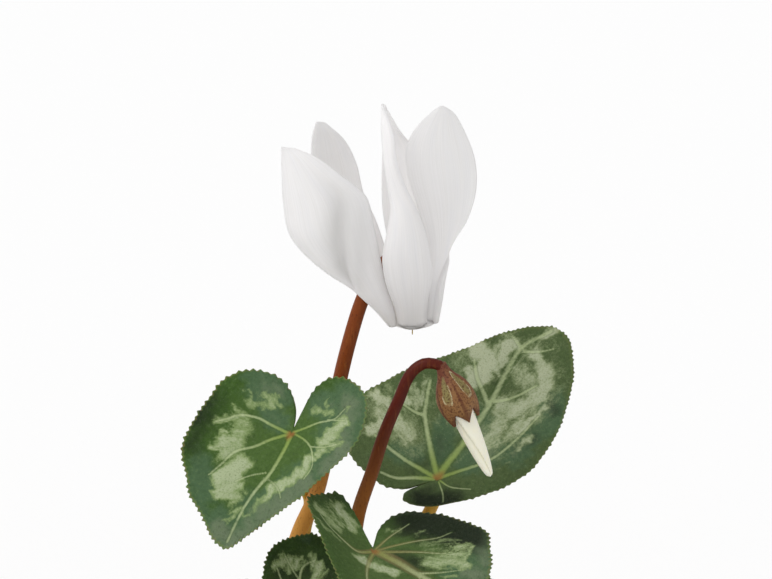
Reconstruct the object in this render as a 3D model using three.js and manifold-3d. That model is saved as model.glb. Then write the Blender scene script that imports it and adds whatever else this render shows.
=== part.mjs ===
// A potted cyclamen: a clay pot filled with soil, the half-buried tuber, nine leaves on their own
// stalks, one open white flower on its hooked stalk and one nodding bud.
// Millimetres, +Z up, origin at the middle of the pot's flat base. The plant is seen from -Y.
import * as THREE from "three";
import { mergeVertices } from "three/addons/utils/BufferGeometryUtils.js";
import Module from "manifold-3d";

// Driving dimensions.
const GAP = 0.3;
const POT = { height: 80, rimRadius: 46, baseRadius: 32, wall: 3.2, floor: 4, band: 17, bandStep: 2 };
const DRAIN = { count: 4, radius: 4, ring: 16 };
const SOIL = { top: 71, grain: 0.7, sectors: 48 };
const TUBER = { radius: 15, height: 17, top: 78 };
const BLADE = { thickness: 0.7, toothDepth: 0.5 };
const STALK = { sides: 7, leafSteps: 11, bloomSteps: 26 };
const PETAL = { thickness: 0.7, steps: 12, across: 6 };
const MOUTH = { at: [16.5, 0, 161], radius: 4.3, tubeLength: 10.5, tubeRadius: 3.3, wall: 0.7 };
const SEPALS = 5;
const BUD = { at: [22.4, -9, 155.2], axis: [0.4, -0.16, -0.9], length: 24.4, calyx: 11.4 };

const clay = surface(0xb5623d, 0.85);
const earth = surface(0x3b2a1e, 0.95);
const corm = surface(0x5a3d29, 0.8);
const leafGreen = surface(0x4b6b38, 0.5);
const leafStalk = surface(0xa8823f, 0.5);
const petalWhite = surface(0xf2f2ee, 0.45);
const stalkBrown = surface(0x8f4f2a, 0.4);
const calyxBrown = surface(0x7d4a30, 0.6);
const pollen = surface(0xd9c27a, 0.7);

const wasm = await Module();
wasm.setup();
const plant = new THREE.Group();

// Small tools.

function surface(color, roughness) {
  return new THREE.MeshStandardMaterial({ color, roughness, metalness: 0 });
}

function vector(list) {
  return new THREE.Vector3(...list);
}

function smooth(t) {
  const c = Math.min(1, Math.max(0, t));
  return c * c * (3 - 2 * c);
}

function addNode(name, geometry, material) {
  const mesh = new THREE.Mesh(geometry, material);
  mesh.name = name;
  plant.add(mesh);
}

// One closed surface from a list of points and the corner numbers of its triangles.
function geometryOf(points, corners) {
  const geometry = new THREE.BufferGeometry().setFromPoints(points);
  geometry.setIndex(corners);
  return geometry;
}

function solidOf(geometry) {
  const bare = geometry.clone();
  bare.deleteAttribute("normal");
  bare.deleteAttribute("uv");
  const merged = mergeVertices(bare, 1e-4);
  return new wasm.Manifold(
    new wasm.Mesh({
      numProp: 3,
      vertProperties: new Float32Array(merged.attributes.position.array),
      triVerts: new Uint32Array(merged.index.array),
    }),
  );
}

function geometryOfSolid(solid) {
  const mesh = solid.getMesh();
  const geometry = new THREE.BufferGeometry();
  geometry.setAttribute("position", new THREE.BufferAttribute(mesh.vertProperties, 3));
  geometry.setIndex(new THREE.BufferAttribute(mesh.triVerts, 1));
  return geometry;
}

// A body of revolution about Z from pairs of radius and height, listed from the bottom up outside.
function turned(profile, sectors) {
  const shape = profile.map(([radius, height]) => new THREE.Vector2(radius, height));
  const geometry = new THREE.LatheGeometry(shape, sectors);
  return geometry.rotateX(Math.PI / 2);
}

// Triangles between two closed rings of corner numbers, the second with as many corners or half.
function bridge(corners, outer, inner) {
  const share = outer.length / inner.length;
  outer.forEach((corner, i) => {
    const next = outer[(i + 1) % outer.length];
    const here = inner[Math.floor(i / share)];
    const after = inner[(Math.floor(i / share) + 1) % inner.length];
    corners.push(corner, next, share === 1 || i % 2 === 0 ? here : after);
    if (share === 1) corners.push(next, after, here);
    else if (i % 2 === 1) corners.push(corner, after, here);
  });
}

// A round stem along a smooth path, with its radius running from the first value to the last.
function stem(path, steps, startRadius, endRadius, grow = 0) {
  const curve = new THREE.CatmullRomCurve3(path.map(vector), false, "centripetal");
  const { sides } = STALK;
  const frames = curve.computeFrenetFrames(steps, false);
  const points = [];
  for (let i = 0; i <= steps; i++) {
    const centre = curve.getPointAt(i / steps);
    const radius = THREE.MathUtils.lerp(startRadius, endRadius, i / steps) + grow;
    for (let j = 0; j < sides; j++) {
      const turn = (2 * Math.PI * j) / sides;
      const out = frames.normals[i].clone().multiplyScalar(Math.cos(turn) * radius);
      out.addScaledVector(frames.binormals[i], Math.sin(turn) * radius);
      points.push(centre.clone().add(out));
    }
  }
  const corners = [];
  for (let i = 0; i < steps; i++)
    for (let j = 0; j < sides; j++) {
      const a = i * sides + j;
      const b = i * sides + ((j + 1) % sides);
      corners.push(a, b, a + sides, b, b + sides, a + sides);
    }
  const start = points.push(curve.getPointAt(0)) - 1;
  const end = points.push(curve.getPointAt(1)) - 1;
  for (let j = 0; j < sides; j++) {
    const k = (j + 1) % sides;
    corners.push(start, k, j, end, steps * sides + j, steps * sides + k);
  }
  return geometryOf(points, corners);
}

// Pot: a plain tapered clay pot with a rim band and drain holes round a solid middle.

function pot() {
  const { height, rimRadius, baseRadius, wall, floor, band, bandStep } = POT;
  const outerAt = (z) => baseRadius + ((rimRadius - bandStep - baseRadius) * z) / height;
  const profile = [
    [0, 0],
    [baseRadius - 1, 0],
    [baseRadius, 1],
    [outerAt(height - band), height - band],
    [outerAt(height - band) + bandStep, height - band + 0.6],
    [rimRadius, height - 1.2],
    [rimRadius - 0.8, height],
    [rimRadius - bandStep - wall + 0.8, height],
    [rimRadius - bandStep - wall, height - 1.2],
    [outerAt(floor) - wall, floor],
    [0, floor],
  ];
  let body = solidOf(turned(profile, 48));
  for (let i = 0; i < DRAIN.count; i++) {
    const turn = (2 * Math.PI * (i + 0.5)) / DRAIN.count;
    const hole = new THREE.CylinderGeometry(DRAIN.radius, DRAIN.radius, 3 * floor, 16);
    hole.rotateX(Math.PI / 2);
    hole.translate(DRAIN.ring * Math.cos(turn), DRAIN.ring * Math.sin(turn), floor / 2);
    body = body.subtract(solidOf(hole));
  }
  return geometryOfSolid(body);
}

function potInnerRadius(z) {
  const { height, rimRadius, baseRadius, wall, floor, bandStep } = POT;
  const low = baseRadius + ((rimRadius - bandStep - baseRadius) * floor) / height - wall;
  const high = rimRadius - bandStep - wall;
  return low + ((high - low) * (z - floor)) / (height - 1.2 - floor);
}

// Soil: fills the pot to a crumbly top, with a plain hollow that the tuber sits in.

function grain(x, y) {
  const rows = Math.sin(x * 0.9 + 2 * Math.sin(y * 0.7));
  const columns = Math.sin(y * 1.1 + 1.7 * Math.sin(x * 0.5));
  const coarse = rows + columns;
  const fine = Math.sin(x * 2.3 + y * 1.9) * Math.sin(y * 2.7 - x * 1.3);
  return SOIL.grain * (0.35 * coarse + 0.6 * fine);
}

function soil() {
  const bottom = POT.floor + GAP;
  const radii = [41, 36, 31, 26, 21];
  const rings = radii.map((radius, k) => {
    const edge = k === 0 ? potInnerRadius(SOIL.top) - 2 * GAP : radius;
    return Array.from({ length: SOIL.sectors }, (_, i) => {
      const turn = (2 * Math.PI * (i + (k % 2) / 2)) / SOIL.sectors;
      const x = edge * Math.cos(turn);
      const y = edge * Math.sin(turn);
      return new THREE.Vector3(x, y, SOIL.top + (k === 0 ? 0 : grain(x, y)));
    });
  });
  const low = potInnerRadius(bottom) - 2 * GAP;
  const foot = rings[0].map((p) => {
    const flat = new THREE.Vector3(p.x, p.y, 0).setLength(low);
    return flat.setZ(bottom);
  });
  const points = [new THREE.Vector3(0, 0, bottom), ...foot, ...rings.flat()];
  const numbers = (start) => foot.map((_, i) => start + i);
  const corners = [];
  const footRing = numbers(1);
  footRing.forEach((c, i) => corners.push(0, footRing[(i + 1) % footRing.length], c));
  bridge(corners, footRing, numbers(1 + foot.length));
  radii.slice(1).forEach((_, k) => {
    bridge(corners, numbers(1 + foot.length * (k + 1)), numbers(1 + foot.length * (k + 2)));
  });
  const middle = points.push(new THREE.Vector3(0, 0, SOIL.top + 0.4)) - 1;
  const last = numbers(1 + foot.length * radii.length);
  last.forEach((c, i) => corners.push(c, last[(i + 1) % last.length], middle));
  const hollow = solidOf(tuberBody(GAP));
  return geometryOfSolid(solidOf(geometryOf(points, corners)).subtract(hollow));
}

// Tuber: a flattened round corm, lumpy on top, with a socket for every stalk.

function tuberBody(grow) {
  const body = new THREE.SphereGeometry(1, 24, 14).rotateX(Math.PI / 2);
  const place = body.attributes.position;
  const lumps = 0.5;
  for (let i = 0; i < place.count; i++) {
    const p = new THREE.Vector3().fromBufferAttribute(place, i);
    const turn = Math.atan2(p.y, p.x);
    const bump = lumps * (1 - p.z * p.z) * Math.sin(5 * turn + 3 * p.z) * Math.sin(4 * p.z + 1);
    const wide = TUBER.radius + grow + bump;
    const high = TUBER.height / 2 + grow;
    const flat = p.z > 0 ? Math.sign(p.z) * Math.pow(Math.abs(p.z), 1.15) : p.z;
    place.setXYZ(i, p.x * wide, p.y * wide, flat * high + TUBER.top - TUBER.height / 2);
  }
  return mergeVertices(body.deleteAttribute("normal").deleteAttribute("uv"), 1e-3);
}

function tuber(sockets) {
  let body = solidOf(tuberBody(0));
  for (const socket of sockets) body = body.subtract(solidOf(socket));
  return geometryOfSolid(body);
}

// Leaves. A blade is a waved sheet drawn over its own flat plane: `across` to its right, `along`
// to its tip, both in millimetres from the top of the stalk. The outline is a list of pairs,
// degrees round from the tip and millimetres out.

function bladeAxes(leaf) {
  const face = vector(leaf.face).normalize();
  const along = vector(leaf.tip);
  along.addScaledVector(face, -along.dot(face)).normalize();
  const across = new THREE.Vector3().crossVectors(along, face);
  return { face, along, across };
}

function bladeRise(leaf, across, along) {
  const out = Math.hypot(across, along);
  const share = out / leaf.size;
  const turn = (THREE.MathUtils.radToDeg(Math.atan2(across, along)) + 360) % 360;
  const right = turn < leaf.sinus;
  const side = smooth(((right ? turn : 360 - turn) - 40) / 80);
  let rise = leaf.cup * share * share;
  rise += leaf.fold * (Math.hypot(across, 2) - 2);
  rise += (right ? leaf.liftRight : leaf.liftLeft) * side * share ** 1.3;
  rise -= along > 0 ? leaf.droop * (along / leaf.size) ** 2 : 0;
  const ripple = Math.sin(THREE.MathUtils.degToRad(turn * leaf.waves + leaf.phase));
  rise += leaf.wave * share ** 3 * ripple;
  return rise;
}

function bladeSlope(leaf, across, along) {
  const step = 0.05;
  const dx = bladeRise(leaf, across + step, along) - bladeRise(leaf, across - step, along);
  const dy = bladeRise(leaf, across, along + step) - bladeRise(leaf, across, along - step);
  return Math.hypot(dx, dy) / (2 * step);
}

function toothedOutline(leaf, count) {
  const knots = leaf.outline.map(([degrees, out]) => {
    const turn = THREE.MathUtils.degToRad(degrees);
    return new THREE.Vector3(out * Math.sin(turn), out * Math.cos(turn), 0);
  });
  const curve = new THREE.CatmullRomCurve3(knots, true, "centripetal");
  const even = curve.getSpacedPoints(count).slice(0, count).reverse();
  return even.map((point, i) => {
    const before = even[(i + count - 1) % count];
    const after = even[(i + 1) % count];
    const outward = new THREE.Vector3(after.y - before.y, before.x - after.x, 0).normalize();
    const depth = BLADE.toothDepth * smooth((point.length() - 6) / 4) * (i % 2 ? -0.5 : 0.5);
    return point.clone().addScaledVector(outward, depth);
  });
}

function blade(leaf) {
  const { face, along, across } = bladeAxes(leaf);
  const rim = toothedOutline(leaf, leaf.teeth * 2);
  const levels = [1, 0.8, 0.55, 0.28];
  const flat = [];
  const rings = levels.map((level, k) => {
    const ring = [];
    for (let i = 0; i < rim.length; i += 2 ** k)
      ring.push(flat.push(rim[i].clone().multiplyScalar(level)) - 1);
    return ring;
  });
  const hub = flat.push(new THREE.Vector3()) - 1;
  const place = (p, drop) =>
    vector(leaf.at)
      .addScaledVector(across, p.x)
      .addScaledVector(along, p.y)
      .addScaledVector(face, bladeRise(leaf, p.x, p.y) - drop);
  const upper = flat.map((p) => place(p, 0));
  const lower = flat.map((p) => {
    const lean = Math.hypot(1, bladeSlope(leaf, p.x, p.y));
    return place(p, BLADE.thickness * Math.min(lean, 2));
  });
  const top = [];
  for (let k = 0; k + 1 < rings.length; k++) bridge(top, rings[k], rings[k + 1]);
  const core = rings.at(-1);
  core.forEach((c, i) => top.push(c, core[(i + 1) % core.length], hub));
  const under = [];
  for (let i = 0; i < top.length; i += 3)
    under.push(top[i] + flat.length, top[i + 2] + flat.length, top[i + 1] + flat.length);
  const wall = [];
  rings[0].forEach((c, i) => {
    const next = rings[0][(i + 1) % rings[0].length];
    wall.push(c, c + flat.length, next, next, c + flat.length, next + flat.length);
  });
  return geometryOf([...upper, ...lower], [...top, ...under, ...wall]);
}

// The stalk's last stretch comes up to the blade's underside and stops short of it.
function leafStalkPath(leaf) {
  const { face } = bladeAxes(leaf);
  const clear = BLADE.thickness + GAP + 0.05;
  const end = vector(leaf.at).addScaledVector(face, -clear - 0.35);
  const bend = vector(leaf.at).addScaledVector(face, -clear - leaf.bend);
  bend.lerp(vector(leaf.stalk.at(-1)), 0.15);
  return [...leaf.stalk, bend.toArray(), end.toArray()];
}

const calm = {
  sinus: 180,
  cup: 0.5,
  fold: 0.1,
  liftLeft: 0,
  liftRight: 0,
  droop: 0,
  wave: 0,
  waves: 5,
  phase: 0,
  bend: 4,
};

// The common heart-shaped outline of the leaves that are seen only from the sides and the back.
function heart(length, width) {
  const out = (degrees) => {
    const point = (length - width) * Math.exp(-((degrees / 26) ** 2));
    return (width + point) * (1 - 0.93 * smooth((degrees - 138) / 42));
  };
  const halves = [0, 12, 26, 42, 60, 80, 100, 120, 138, 150, 160, 170];
  const right = halves.map((degrees) => [degrees, out(degrees)]);
  const left = halves.slice(1).reverse().map((degrees) => [360 - degrees, out(degrees)]);
  return [...right, [180, out(180)], ...left];
}

const leaves = [
  {
    name: "leaf_left",
    at: [-7.5, -20, 145.8],
    tip: [-0.5, -0.46, -0.73],
    face: [-0.25, -0.73, 0.63],
    size: 20,
    sinus: 170,
    fold: 0.22,
    droop: 1,
    teeth: 48,
    outline: [
      [0, 26], [8, 25.6], [18, 23.8], [30, 23.2], [40, 22], [52, 21.7], [62, 20.2], [72, 18.8], [85, 17.6],
      [98, 17.2], [112, 16], [125, 14], [137, 11.8], [148, 8.8], [158, 5.4], [164, 3],
      [170, 1.3], [175, 3.4], [176, 6], [177, 9.4], [182, 12.6], [192, 14.7], [205, 16.2], [219, 16.7],
      [230, 16.2], [249, 14.8], [262, 13.6], [277, 12.4], [298, 12.2], [318, 13.6], [335, 15.8], [347, 19.2],
      [355, 23],
    ],
    stalk: [
      [-2, 4, 74], [-5, 4, 95], [-5.8, 2.4, 113], [-4.3, 1.6, 121], [-7, -3.5, 129.5], [-8, -11, 137.5],
    ],
    stalkRadii: [1.7, 1.2],
  },
  {
    name: "leaf_right",
    at: [21.7, 6, 124],
    tip: [0.56, 0.61, 0.57],
    face: [-0.12, -0.62, 0.78],
    size: 22,
    sinus: 215,
    fold: 0.12,
    teeth: 60,
    outline: [
      [3, 41.4], [9, 41], [14, 38.6], [20, 35.6], [27, 31.6], [35, 27.8], [43, 24.4], [56, 19.6], [67, 15.4],
      [84, 10.4], [120, 6.6], [160, 6.4], [190, 7.6], [204, 8.2], [212, 7.2], [213, 4], [215, 1.2],
      [218, 4], [218, 6.6], [230, 11.2], [244, 15], [253, 18.4], [262, 20.6], [272, 22.6], [281, 24.6],
      [289, 25.4], [298, 24.9], [309, 24.9], [321, 26.1], [332, 28], [340, 30.4], [346, 33.4], [352, 36.6],
      [358, 39.6],
    ],
    stalk: [[5, 1, 74], [10, 4, 96], [17, 6, 110]],
    stalkRadii: [1.7, 1.25],
  },
  {
    name: "leaf_front",
    at: [8.8, -32, 126.1],
    tip: [0.57, -0.81, -0.13],
    face: [0.05, -0.12, 0.99],
    size: 22,
    sinus: 200,
    fold: 0.22,
    liftRight: 13,
    droop: 2,
    teeth: 52,
    outline: [
      [0, 26], [10, 25.6], [20, 24.8], [32, 23.6], [43, 22.2], [54, 18.6], [71, 14.6], [97, 12.2],
      [119, 12.2], [132, 13.2], [146, 14], [163, 13.4], [180, 12.6], [186, 9], [188, 3.6],
      [202, 1.3], [219, 3.4], [223, 6.8], [232, 10.4], [247, 13], [263, 14.8], [277, 17], [290, 19.8],
      [298, 22.2], [308, 22.6], [323, 23.9], [342, 25.2],
    ],
    stalk: [[3, -7, 74], [6, -16, 92], [9, -26, 110]],
    stalkRadii: [1.7, 1.25],
  },
  {
    name: "leaf_front_low",
    at: [-6, -30, 113.5],
    tip: [0, 0.75, 0.65],
    face: [-0.1, -0.65, 0.75],
    size: 12,
    fold: 0.12,
    teeth: 32,
    outline: [
      [0, 14.4], [10, 14.8], [22, 13.8], [40, 11], [55, 9.8], [72, 9.3], [95, 9.4], [120, 10], [145, 9.6],
      [162, 7.6], [173, 4], [180, 1.3], [187, 4], [198, 7.6], [215, 9.6], [240, 10], [268, 9], [292, 8.2],
      [308, 9.2], [322, 11], [335, 13], [350, 14],
    ],
    stalk: [[-5, -8, 74], [-8, -15, 90], [-8, -24, 102]],
    stalkRadii: [1.4, 1],
  },
  {
    name: "leaf_right_low",
    at: [30, -22, 100],
    tip: [0.78, -0.58, -0.25],
    face: [0.2, -0.2, 0.96],
    size: 19,
    wave: 1,
    droop: 3,
    teeth: 36,
    outline: heart(23, 19),
    stalk: [[8, -5, 74], [14, -9, 87], [23, -16, 95.5]],
    stalkRadii: [1.6, 1.2],
  },
  {
    name: "leaf_left_low",
    at: [-28, -7, 93],
    tip: [-0.95, -0.25, -0.25],
    face: [-0.2, -0.15, 0.97],
    size: 19,
    wave: 1,
    phase: 60,
    droop: 3,
    teeth: 36,
    outline: heart(23, 19),
    stalk: [[-9, -3, 74], [-15, -5, 84], [-23, -6, 88.5]],
    stalkRadii: [1.6, 1.2],
  },
  {
    name: "leaf_far_left",
    at: [-24, 17, 86],
    tip: [-0.85, 0.5, -0.12],
    face: [-0.1, 0.12, 0.98],
    size: 18,
    wave: 0.8,
    phase: 120,
    droop: 2.5,
    teeth: 36,
    outline: heart(22, 18),
    stalk: [[-7, 4, 74], [-12, 8, 80.5], [-19, 13.5, 82.5]],
    stalkRadii: [1.6, 1.2],
  },
  {
    name: "leaf_far",
    at: [3, 27, 90],
    tip: [0.05, 0.99, -0.1],
    face: [0, 0.12, 0.99],
    size: 18,
    wave: 0.8,
    phase: 200,
    droop: 2.5,
    teeth: 36,
    outline: heart(22, 17.5),
    stalk: [[1, 8, 74], [2, 13, 82], [3, 22, 86]],
    stalkRadii: [1.6, 1.2],
  },
  {
    name: "leaf_far_right",
    at: [28, 13, 86.5],
    tip: [0.93, 0.36, -0.12],
    face: [0.1, 0.1, 0.98],
    size: 18,
    wave: 0.9,
    phase: 300,
    droop: 2.5,
    teeth: 36,
    outline: heart(22, 18),
    stalk: [[8, 4, 74], [14, 7, 81], [23, 11, 83]],
    stalkRadii: [1.6, 1.2],
  },
];

// Flower. Every petal is a ribbon between two edges, given station by station from the mouth of
// the flower, in millimetres from the middle of the mouth: left edge, right edge, bow.

const petals = [
  // Front left.
  {
    left: [[-4.9, -0.8, 0.8], [-8.2, -2, 4.8], [-13.8, -3.1, 9.7], [-20.7, -4.1, 15.9],
      [-24.4, -4.8, 21.3], [-25.5, -5.4, 28], [-25.7, -6, 34.2], [-25.7, -6.6, 38], [-25.7, -7.2, 40.4]],
    right: [[-3.2, -3.4, 1], [-3.7, -4.6, 5.2], [-5.4, -5.9, 11.4], [-6.6, -7, 18.2], [-7.7, -8.2, 24.6],
      [-9.2, -9.2, 30.9], [-14, -9.8, 35.4], [-18.9, -9.4, 39.1], [-23, -8.2, 40.5]],
    bow: [0.6, 1, 1.4, 1.8, 2, 1.8, 1.2, 0.6, 0.1],
  },
  // Front.
  {
    left: [[-2.8, -3.3, 1.2], [-3.6, -5.5, 6.2], [-5.4, -7.5, 12.2], [-6, -8.5, 17.8], [-5.2, -8.6, 22.7],
      [-4.4, -8, 27.6], [-5, -7, 31.8], [-5.6, -6, 36.1], [-6.1, -4, 41.2], [-6.2, -1.6, 44.3],
      [-6.2, 1.4, 46.1]],
    right: [[2.8, -3.2, 1.2], [3, -5, 7.4], [3.8, -6.5, 13], [3.4, -7.8, 18.3], [2.4, -8.4, 23.2],
      [0.6, -8.6, 28.3], [-1.2, -8.4, 32.1], [-3, -7.6, 36.8], [-3.8, -5.6, 42], [-5, -2.4, 45],
      [-5.9, 1.4, 46.2]],
    bow: [1.1, 1.2, 1.2, 1.2, 1.1, 0.9, 0.7, 0.6, 0.4, 0.2, 0.1],
  },
  // Right.
  {
    left: [[2.6, -2.9, 1.4], [2.8, -4.2, 6.7], [2.9, -4.5, 11.4], [3.3, -4.2, 16], [2.6, -3.8, 20.7],
      [0.8, -3, 26.6], [-1.1, -1.4, 32.4], [-1.4, -0.4, 37.4], [0.4, 0.4, 41.4], [3.4, 1, 44.5],
      [5.2, 1.2, 45.9]],
    right: [[4.3, 0.5, 1.1], [5, 1.6, 4.6], [5.6, 2.4, 8.1], [6.4, 3.2, 11.9], [8.4, 4.4, 16.3],
      [11, 5.6, 20.4], [12.7, 6, 27], [12.3, 5.6, 33.3], [10.3, 4.6, 39.2], [8, 3, 43.9],
      [5.9, 1.5, 45.9]],
    bow: [0.8, 0.9, 1, 1.1, 1.3, 1.6, 1.8, 1.6, 1.2, 0.6, 0.1],
  },
  // Back.
  {
    left: [[0.6, 4.3, 1], [-1.4, 7, 2.6], [-3.4, 10, 7.8], [-5, 12.2, 13.5], [-6, 14, 19.2],
      [-6.2, 15, 25.2], [-6, 15, 31.8], [-6, 14.4, 37.2], [-6, 13, 42.2]],
    right: [[3.4, 2.7, 1], [4.4, 5, 2.7], [5, 7, 9.1], [4.8, 8.4, 15], [4, 9.2, 21.2], [2.6, 9.6, 27.3],
      [0.4, 10, 33.6], [-3, 11, 37.8], [-5.4, 12.4, 42]],
    bow: [-1, -1.2, -1.4, -1.6, -1.6, -1.6, -1.2, -0.7, -0.1],
  },
  // Back left.
  {
    left: [[-4, 1.5, 1], [-8.4, 3.8, 4], [-13, 5.4, 11.3], [-17, 6.6, 18.7], [-19.4, 7.2, 26.1],
      [-20.2, 7.6, 32.5], [-20, 8, 37.1], [-19.2, 8.4, 40.1]],
    right: [[-1.5, 4, 1], [-3, 7.4, 4.6], [-5, 9.6, 11.2], [-7.2, 10.6, 17.9], [-9.8, 11, 24],
      [-11.2, 11, 30.2], [-13.6, 10.4, 35.5], [-17.4, 9.4, 39.6]],
    bow: [-0.8, -1.1, -1.4, -1.6, -1.6, -1.4, -0.9, -0.1],
  },
];

function petal(spec) {
  const { steps, across, thickness } = PETAL;
  const left = new THREE.CatmullRomCurve3(spec.left.map(vector), false, "centripetal");
  const right = new THREE.CatmullRomCurve3(spec.right.map(vector), false, "centripetal");
  const sheet = [];
  for (let i = 0; i <= steps; i++) {
    const t = i / steps;
    const a = left.getPoint(t);
    const b = right.getPoint(t);
    const run = left.getTangent(t).add(right.getTangent(t)).normalize();
    const out = new THREE.Vector3().subVectors(b, a).cross(run).normalize();
    const knot = t * (spec.bow.length - 1);
    const whole = Math.min(Math.floor(knot), spec.bow.length - 2);
    const bow = THREE.MathUtils.lerp(spec.bow[whole], spec.bow[whole + 1], knot - whole);
    for (let j = 0; j <= across; j++) {
      const u = j / across;
      const point = new THREE.Vector3().lerpVectors(a, b, u);
      sheet.push(point.addScaledVector(out, bow * 4 * u * (1 - u)));
    }
  }
  return sheetSolid(sheet, steps + 1, across + 1, thickness);
}

// A closed sheet of the given thickness from a grid of points, row after row.
function sheetSolid(points, rows, columns, thickness) {
  const at = (i, j) => i * columns + j;
  const faces = [];
  for (let i = 0; i + 1 < rows; i++)
    for (let j = 0; j + 1 < columns; j++)
      faces.push([at(i, j), at(i, j + 1), at(i + 1, j)], [at(i, j + 1), at(i + 1, j + 1), at(i + 1, j)]);
  const normals = points.map(() => new THREE.Vector3());
  for (const [a, b, c] of faces) {
    const ab = new THREE.Vector3().subVectors(points[b], points[a]);
    const ac = new THREE.Vector3().subVectors(points[c], points[a]);
    const normal = ab.cross(ac);
    [a, b, c].forEach((corner) => normals[corner].add(normal));
  }
  const front = points.map((p, i) => p.clone().addScaledVector(normals[i].normalize(), thickness / 2));
  const back = points.map((p, i) => p.clone().addScaledVector(normals[i], -thickness / 2));
  const corners = [];
  const n = points.length;
  for (const [a, b, c] of faces) corners.push(a, b, c, a + n, c + n, b + n);
  const edge = [];
  for (let j = 0; j + 1 < columns; j++) edge.push([at(0, j), at(0, j + 1)]);
  for (let i = 0; i + 1 < rows; i++) edge.push([at(i, columns - 1), at(i + 1, columns - 1)]);
  for (let j = columns - 1; j > 0; j--) edge.push([at(rows - 1, j), at(rows - 1, j - 1)]);
  for (let i = rows - 1; i > 0; i--) edge.push([at(i, 0), at(i - 1, 0)]);
  for (const [a, b] of edge) corners.push(b, a, a + n, b, a + n, b + n);
  return geometryOf([...front, ...back], corners);
}

function corolla() {
  const { radius, tubeLength, tubeRadius, wall } = MOUTH;
  const profile = [
    [0, tubeLength - wall],
    [tubeRadius - wall - 0.8, tubeLength - wall - 0.4],
    [tubeRadius - wall, tubeLength - 3],
    [tubeRadius - wall, 3],
    [radius - wall - 0.3, 1],
    [radius - 0.2, 0.5],
    [radius + 0.35, 1.1],
    [radius + 0.1, 1.9],
    [tubeRadius, 3.4],
    [tubeRadius, tubeLength - 3],
    [tubeRadius - 0.8, tubeLength - 0.6],
    [0, tubeLength],
  ];
  let body = solidOf(turned(profile, 30));
  for (const spec of petals) body = body.add(solidOf(petal(spec)));
  return geometryOfSolid(body).translate(...MOUTH.at);
}

// A cup of five pointed sepals about +Z, open upwards: pairs of height and outer radius.
function sepalCup(profile, wall, tipLength, tipLean) {
  const count = SEPALS * 6;
  const top = profile.length - 1;
  const curve = (k, u) => {
    const [z, r] = profile[k];
    const point = 1 - Math.abs(((u * SEPALS) % 1) - 0.5) * 2;
    const raise = k === top ? tipLength * point ** 1.3 : 0;
    const shrink = k === top ? tipLean * point : 0;
    return [z + raise, Math.max(r - shrink, wall)];
  };
  const points = [];
  const rows = [];
  const ring = (k, inset) => {
    const row = [];
    for (let i = 0; i < count; i++) {
      const u = i / count;
      const [z, r] = curve(k, u);
      const turn = 2 * Math.PI * u;
      const x = (r - inset) * Math.cos(turn);
      const y = (r - inset) * Math.sin(turn);
      row.push(points.push(new THREE.Vector3(x, y, z)) - 1);
    }
    rows.push(row);
  };
  profile.forEach((_, k) => ring(k, 0));
  for (let k = top; k > 1; k--) ring(k, wall);
  const start = points.push(new THREE.Vector3(0, 0, profile[0][0])) - 1;
  const end = points.push(new THREE.Vector3(0, 0, profile[2][0] - 0.2)) - 1;
  const corners = [];
  rows[0].forEach((c, i) => corners.push(start, rows[0][(i + 1) % count], c));
  for (let k = 0; k + 1 < rows.length; k++) bridge(corners, rows[k], rows[k + 1]);
  const last = rows.at(-1);
  last.forEach((c, i) => corners.push(c, last[(i + 1) % count], end));
  return geometryOf(points, corners);
}

function flowerCalyx() {
  const cup = sepalCup([[0, 1.5], [0.5, 2.4], [1.5, 3.8], [3, 4.3], [5, 4.3]], 0.62, 3, 0);
  cup.rotateX(Math.PI);
  return cup.translate(MOUTH.at[0], MOUTH.at[1], MOUTH.at[2] + MOUTH.tubeLength + 1.6 + GAP);
}

function stamens() {
  const { tubeLength, tubeRadius, wall } = MOUTH;
  const top = tubeLength - wall - GAP - 0.5;
  const profile = [
    [0, -1],
    [0.3, -0.8],
    [0.35, 1.2],
    [1, 2.6],
    [1.8, 6],
    [tubeRadius - wall - 1, top - 0.4],
    [0, top],
  ];
  const cone = turned(profile, 20);
  const place = cone.attributes.position;
  for (let i = 0; i < place.count; i++) {
    const x = place.getX(i);
    const y = place.getY(i);
    const swell = 1 + 0.1 * Math.cos(5 * Math.atan2(y, x)) * smooth((place.getZ(i) - 0.5) / 2);
    place.setXY(i, x * swell, y * swell);
  }
  return geometryOfSolid(solidOf(cone)).translate(...MOUTH.at);
}

const flowerPath = [
  [-6, -1, 73.5], [-9, -2, 92], [-9, -2.8, 106], [-6.6, -3, 116], [-3.1, -3, 124.6], [-0.4, -3, 136.9],
  [2, -2, 150.1], [4.2, -1, 159.1], [6.2, 0, 165.6], [8, 0.4, 169.8], [10, 0.4, 172.9],
  [12.3, 0.2, 175.5], [14.6, 0, 176.6], [16.1, 0, 175.7], [16.5, 0, 174.1],
];
const budPath = [
  [3, -3, 73.5], [3, -7, 94], [4, -10.6, 110], [5.6, -12.4, 124.8], [8.4, -12, 133.9], [11, -11, 142.2],
  [14, -9.8, 149.4], [15.4, -9.3, 152.9], [17, -9, 155.1], [19, -9, 156.3], [20.8, -9, 156.2],
  [21.9, -9, 155.8],
];

// Bud: the furled petals in a pointed cone, held in their calyx.

function alongBud(geometry) {
  const turn = new THREE.Quaternion().setFromUnitVectors(
    new THREE.Vector3(0, 0, 1),
    vector(BUD.axis).normalize(),
  );
  return geometry.applyQuaternion(turn).translate(...BUD.at);
}

function budCorolla() {
  const profile = [
    [0, 2.9], [1.2, 3], [2, 4.4], [2.9, 6.5], [2.9, 8.6], [2.3, 11.2], [2.1, 13.5], [1.9, 16.4],
    [1.45, 19.8], [1, 22.4], [0.5, 24], [0, BUD.length],
  ];
  return alongBud(turned(profile, 24));
}

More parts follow.
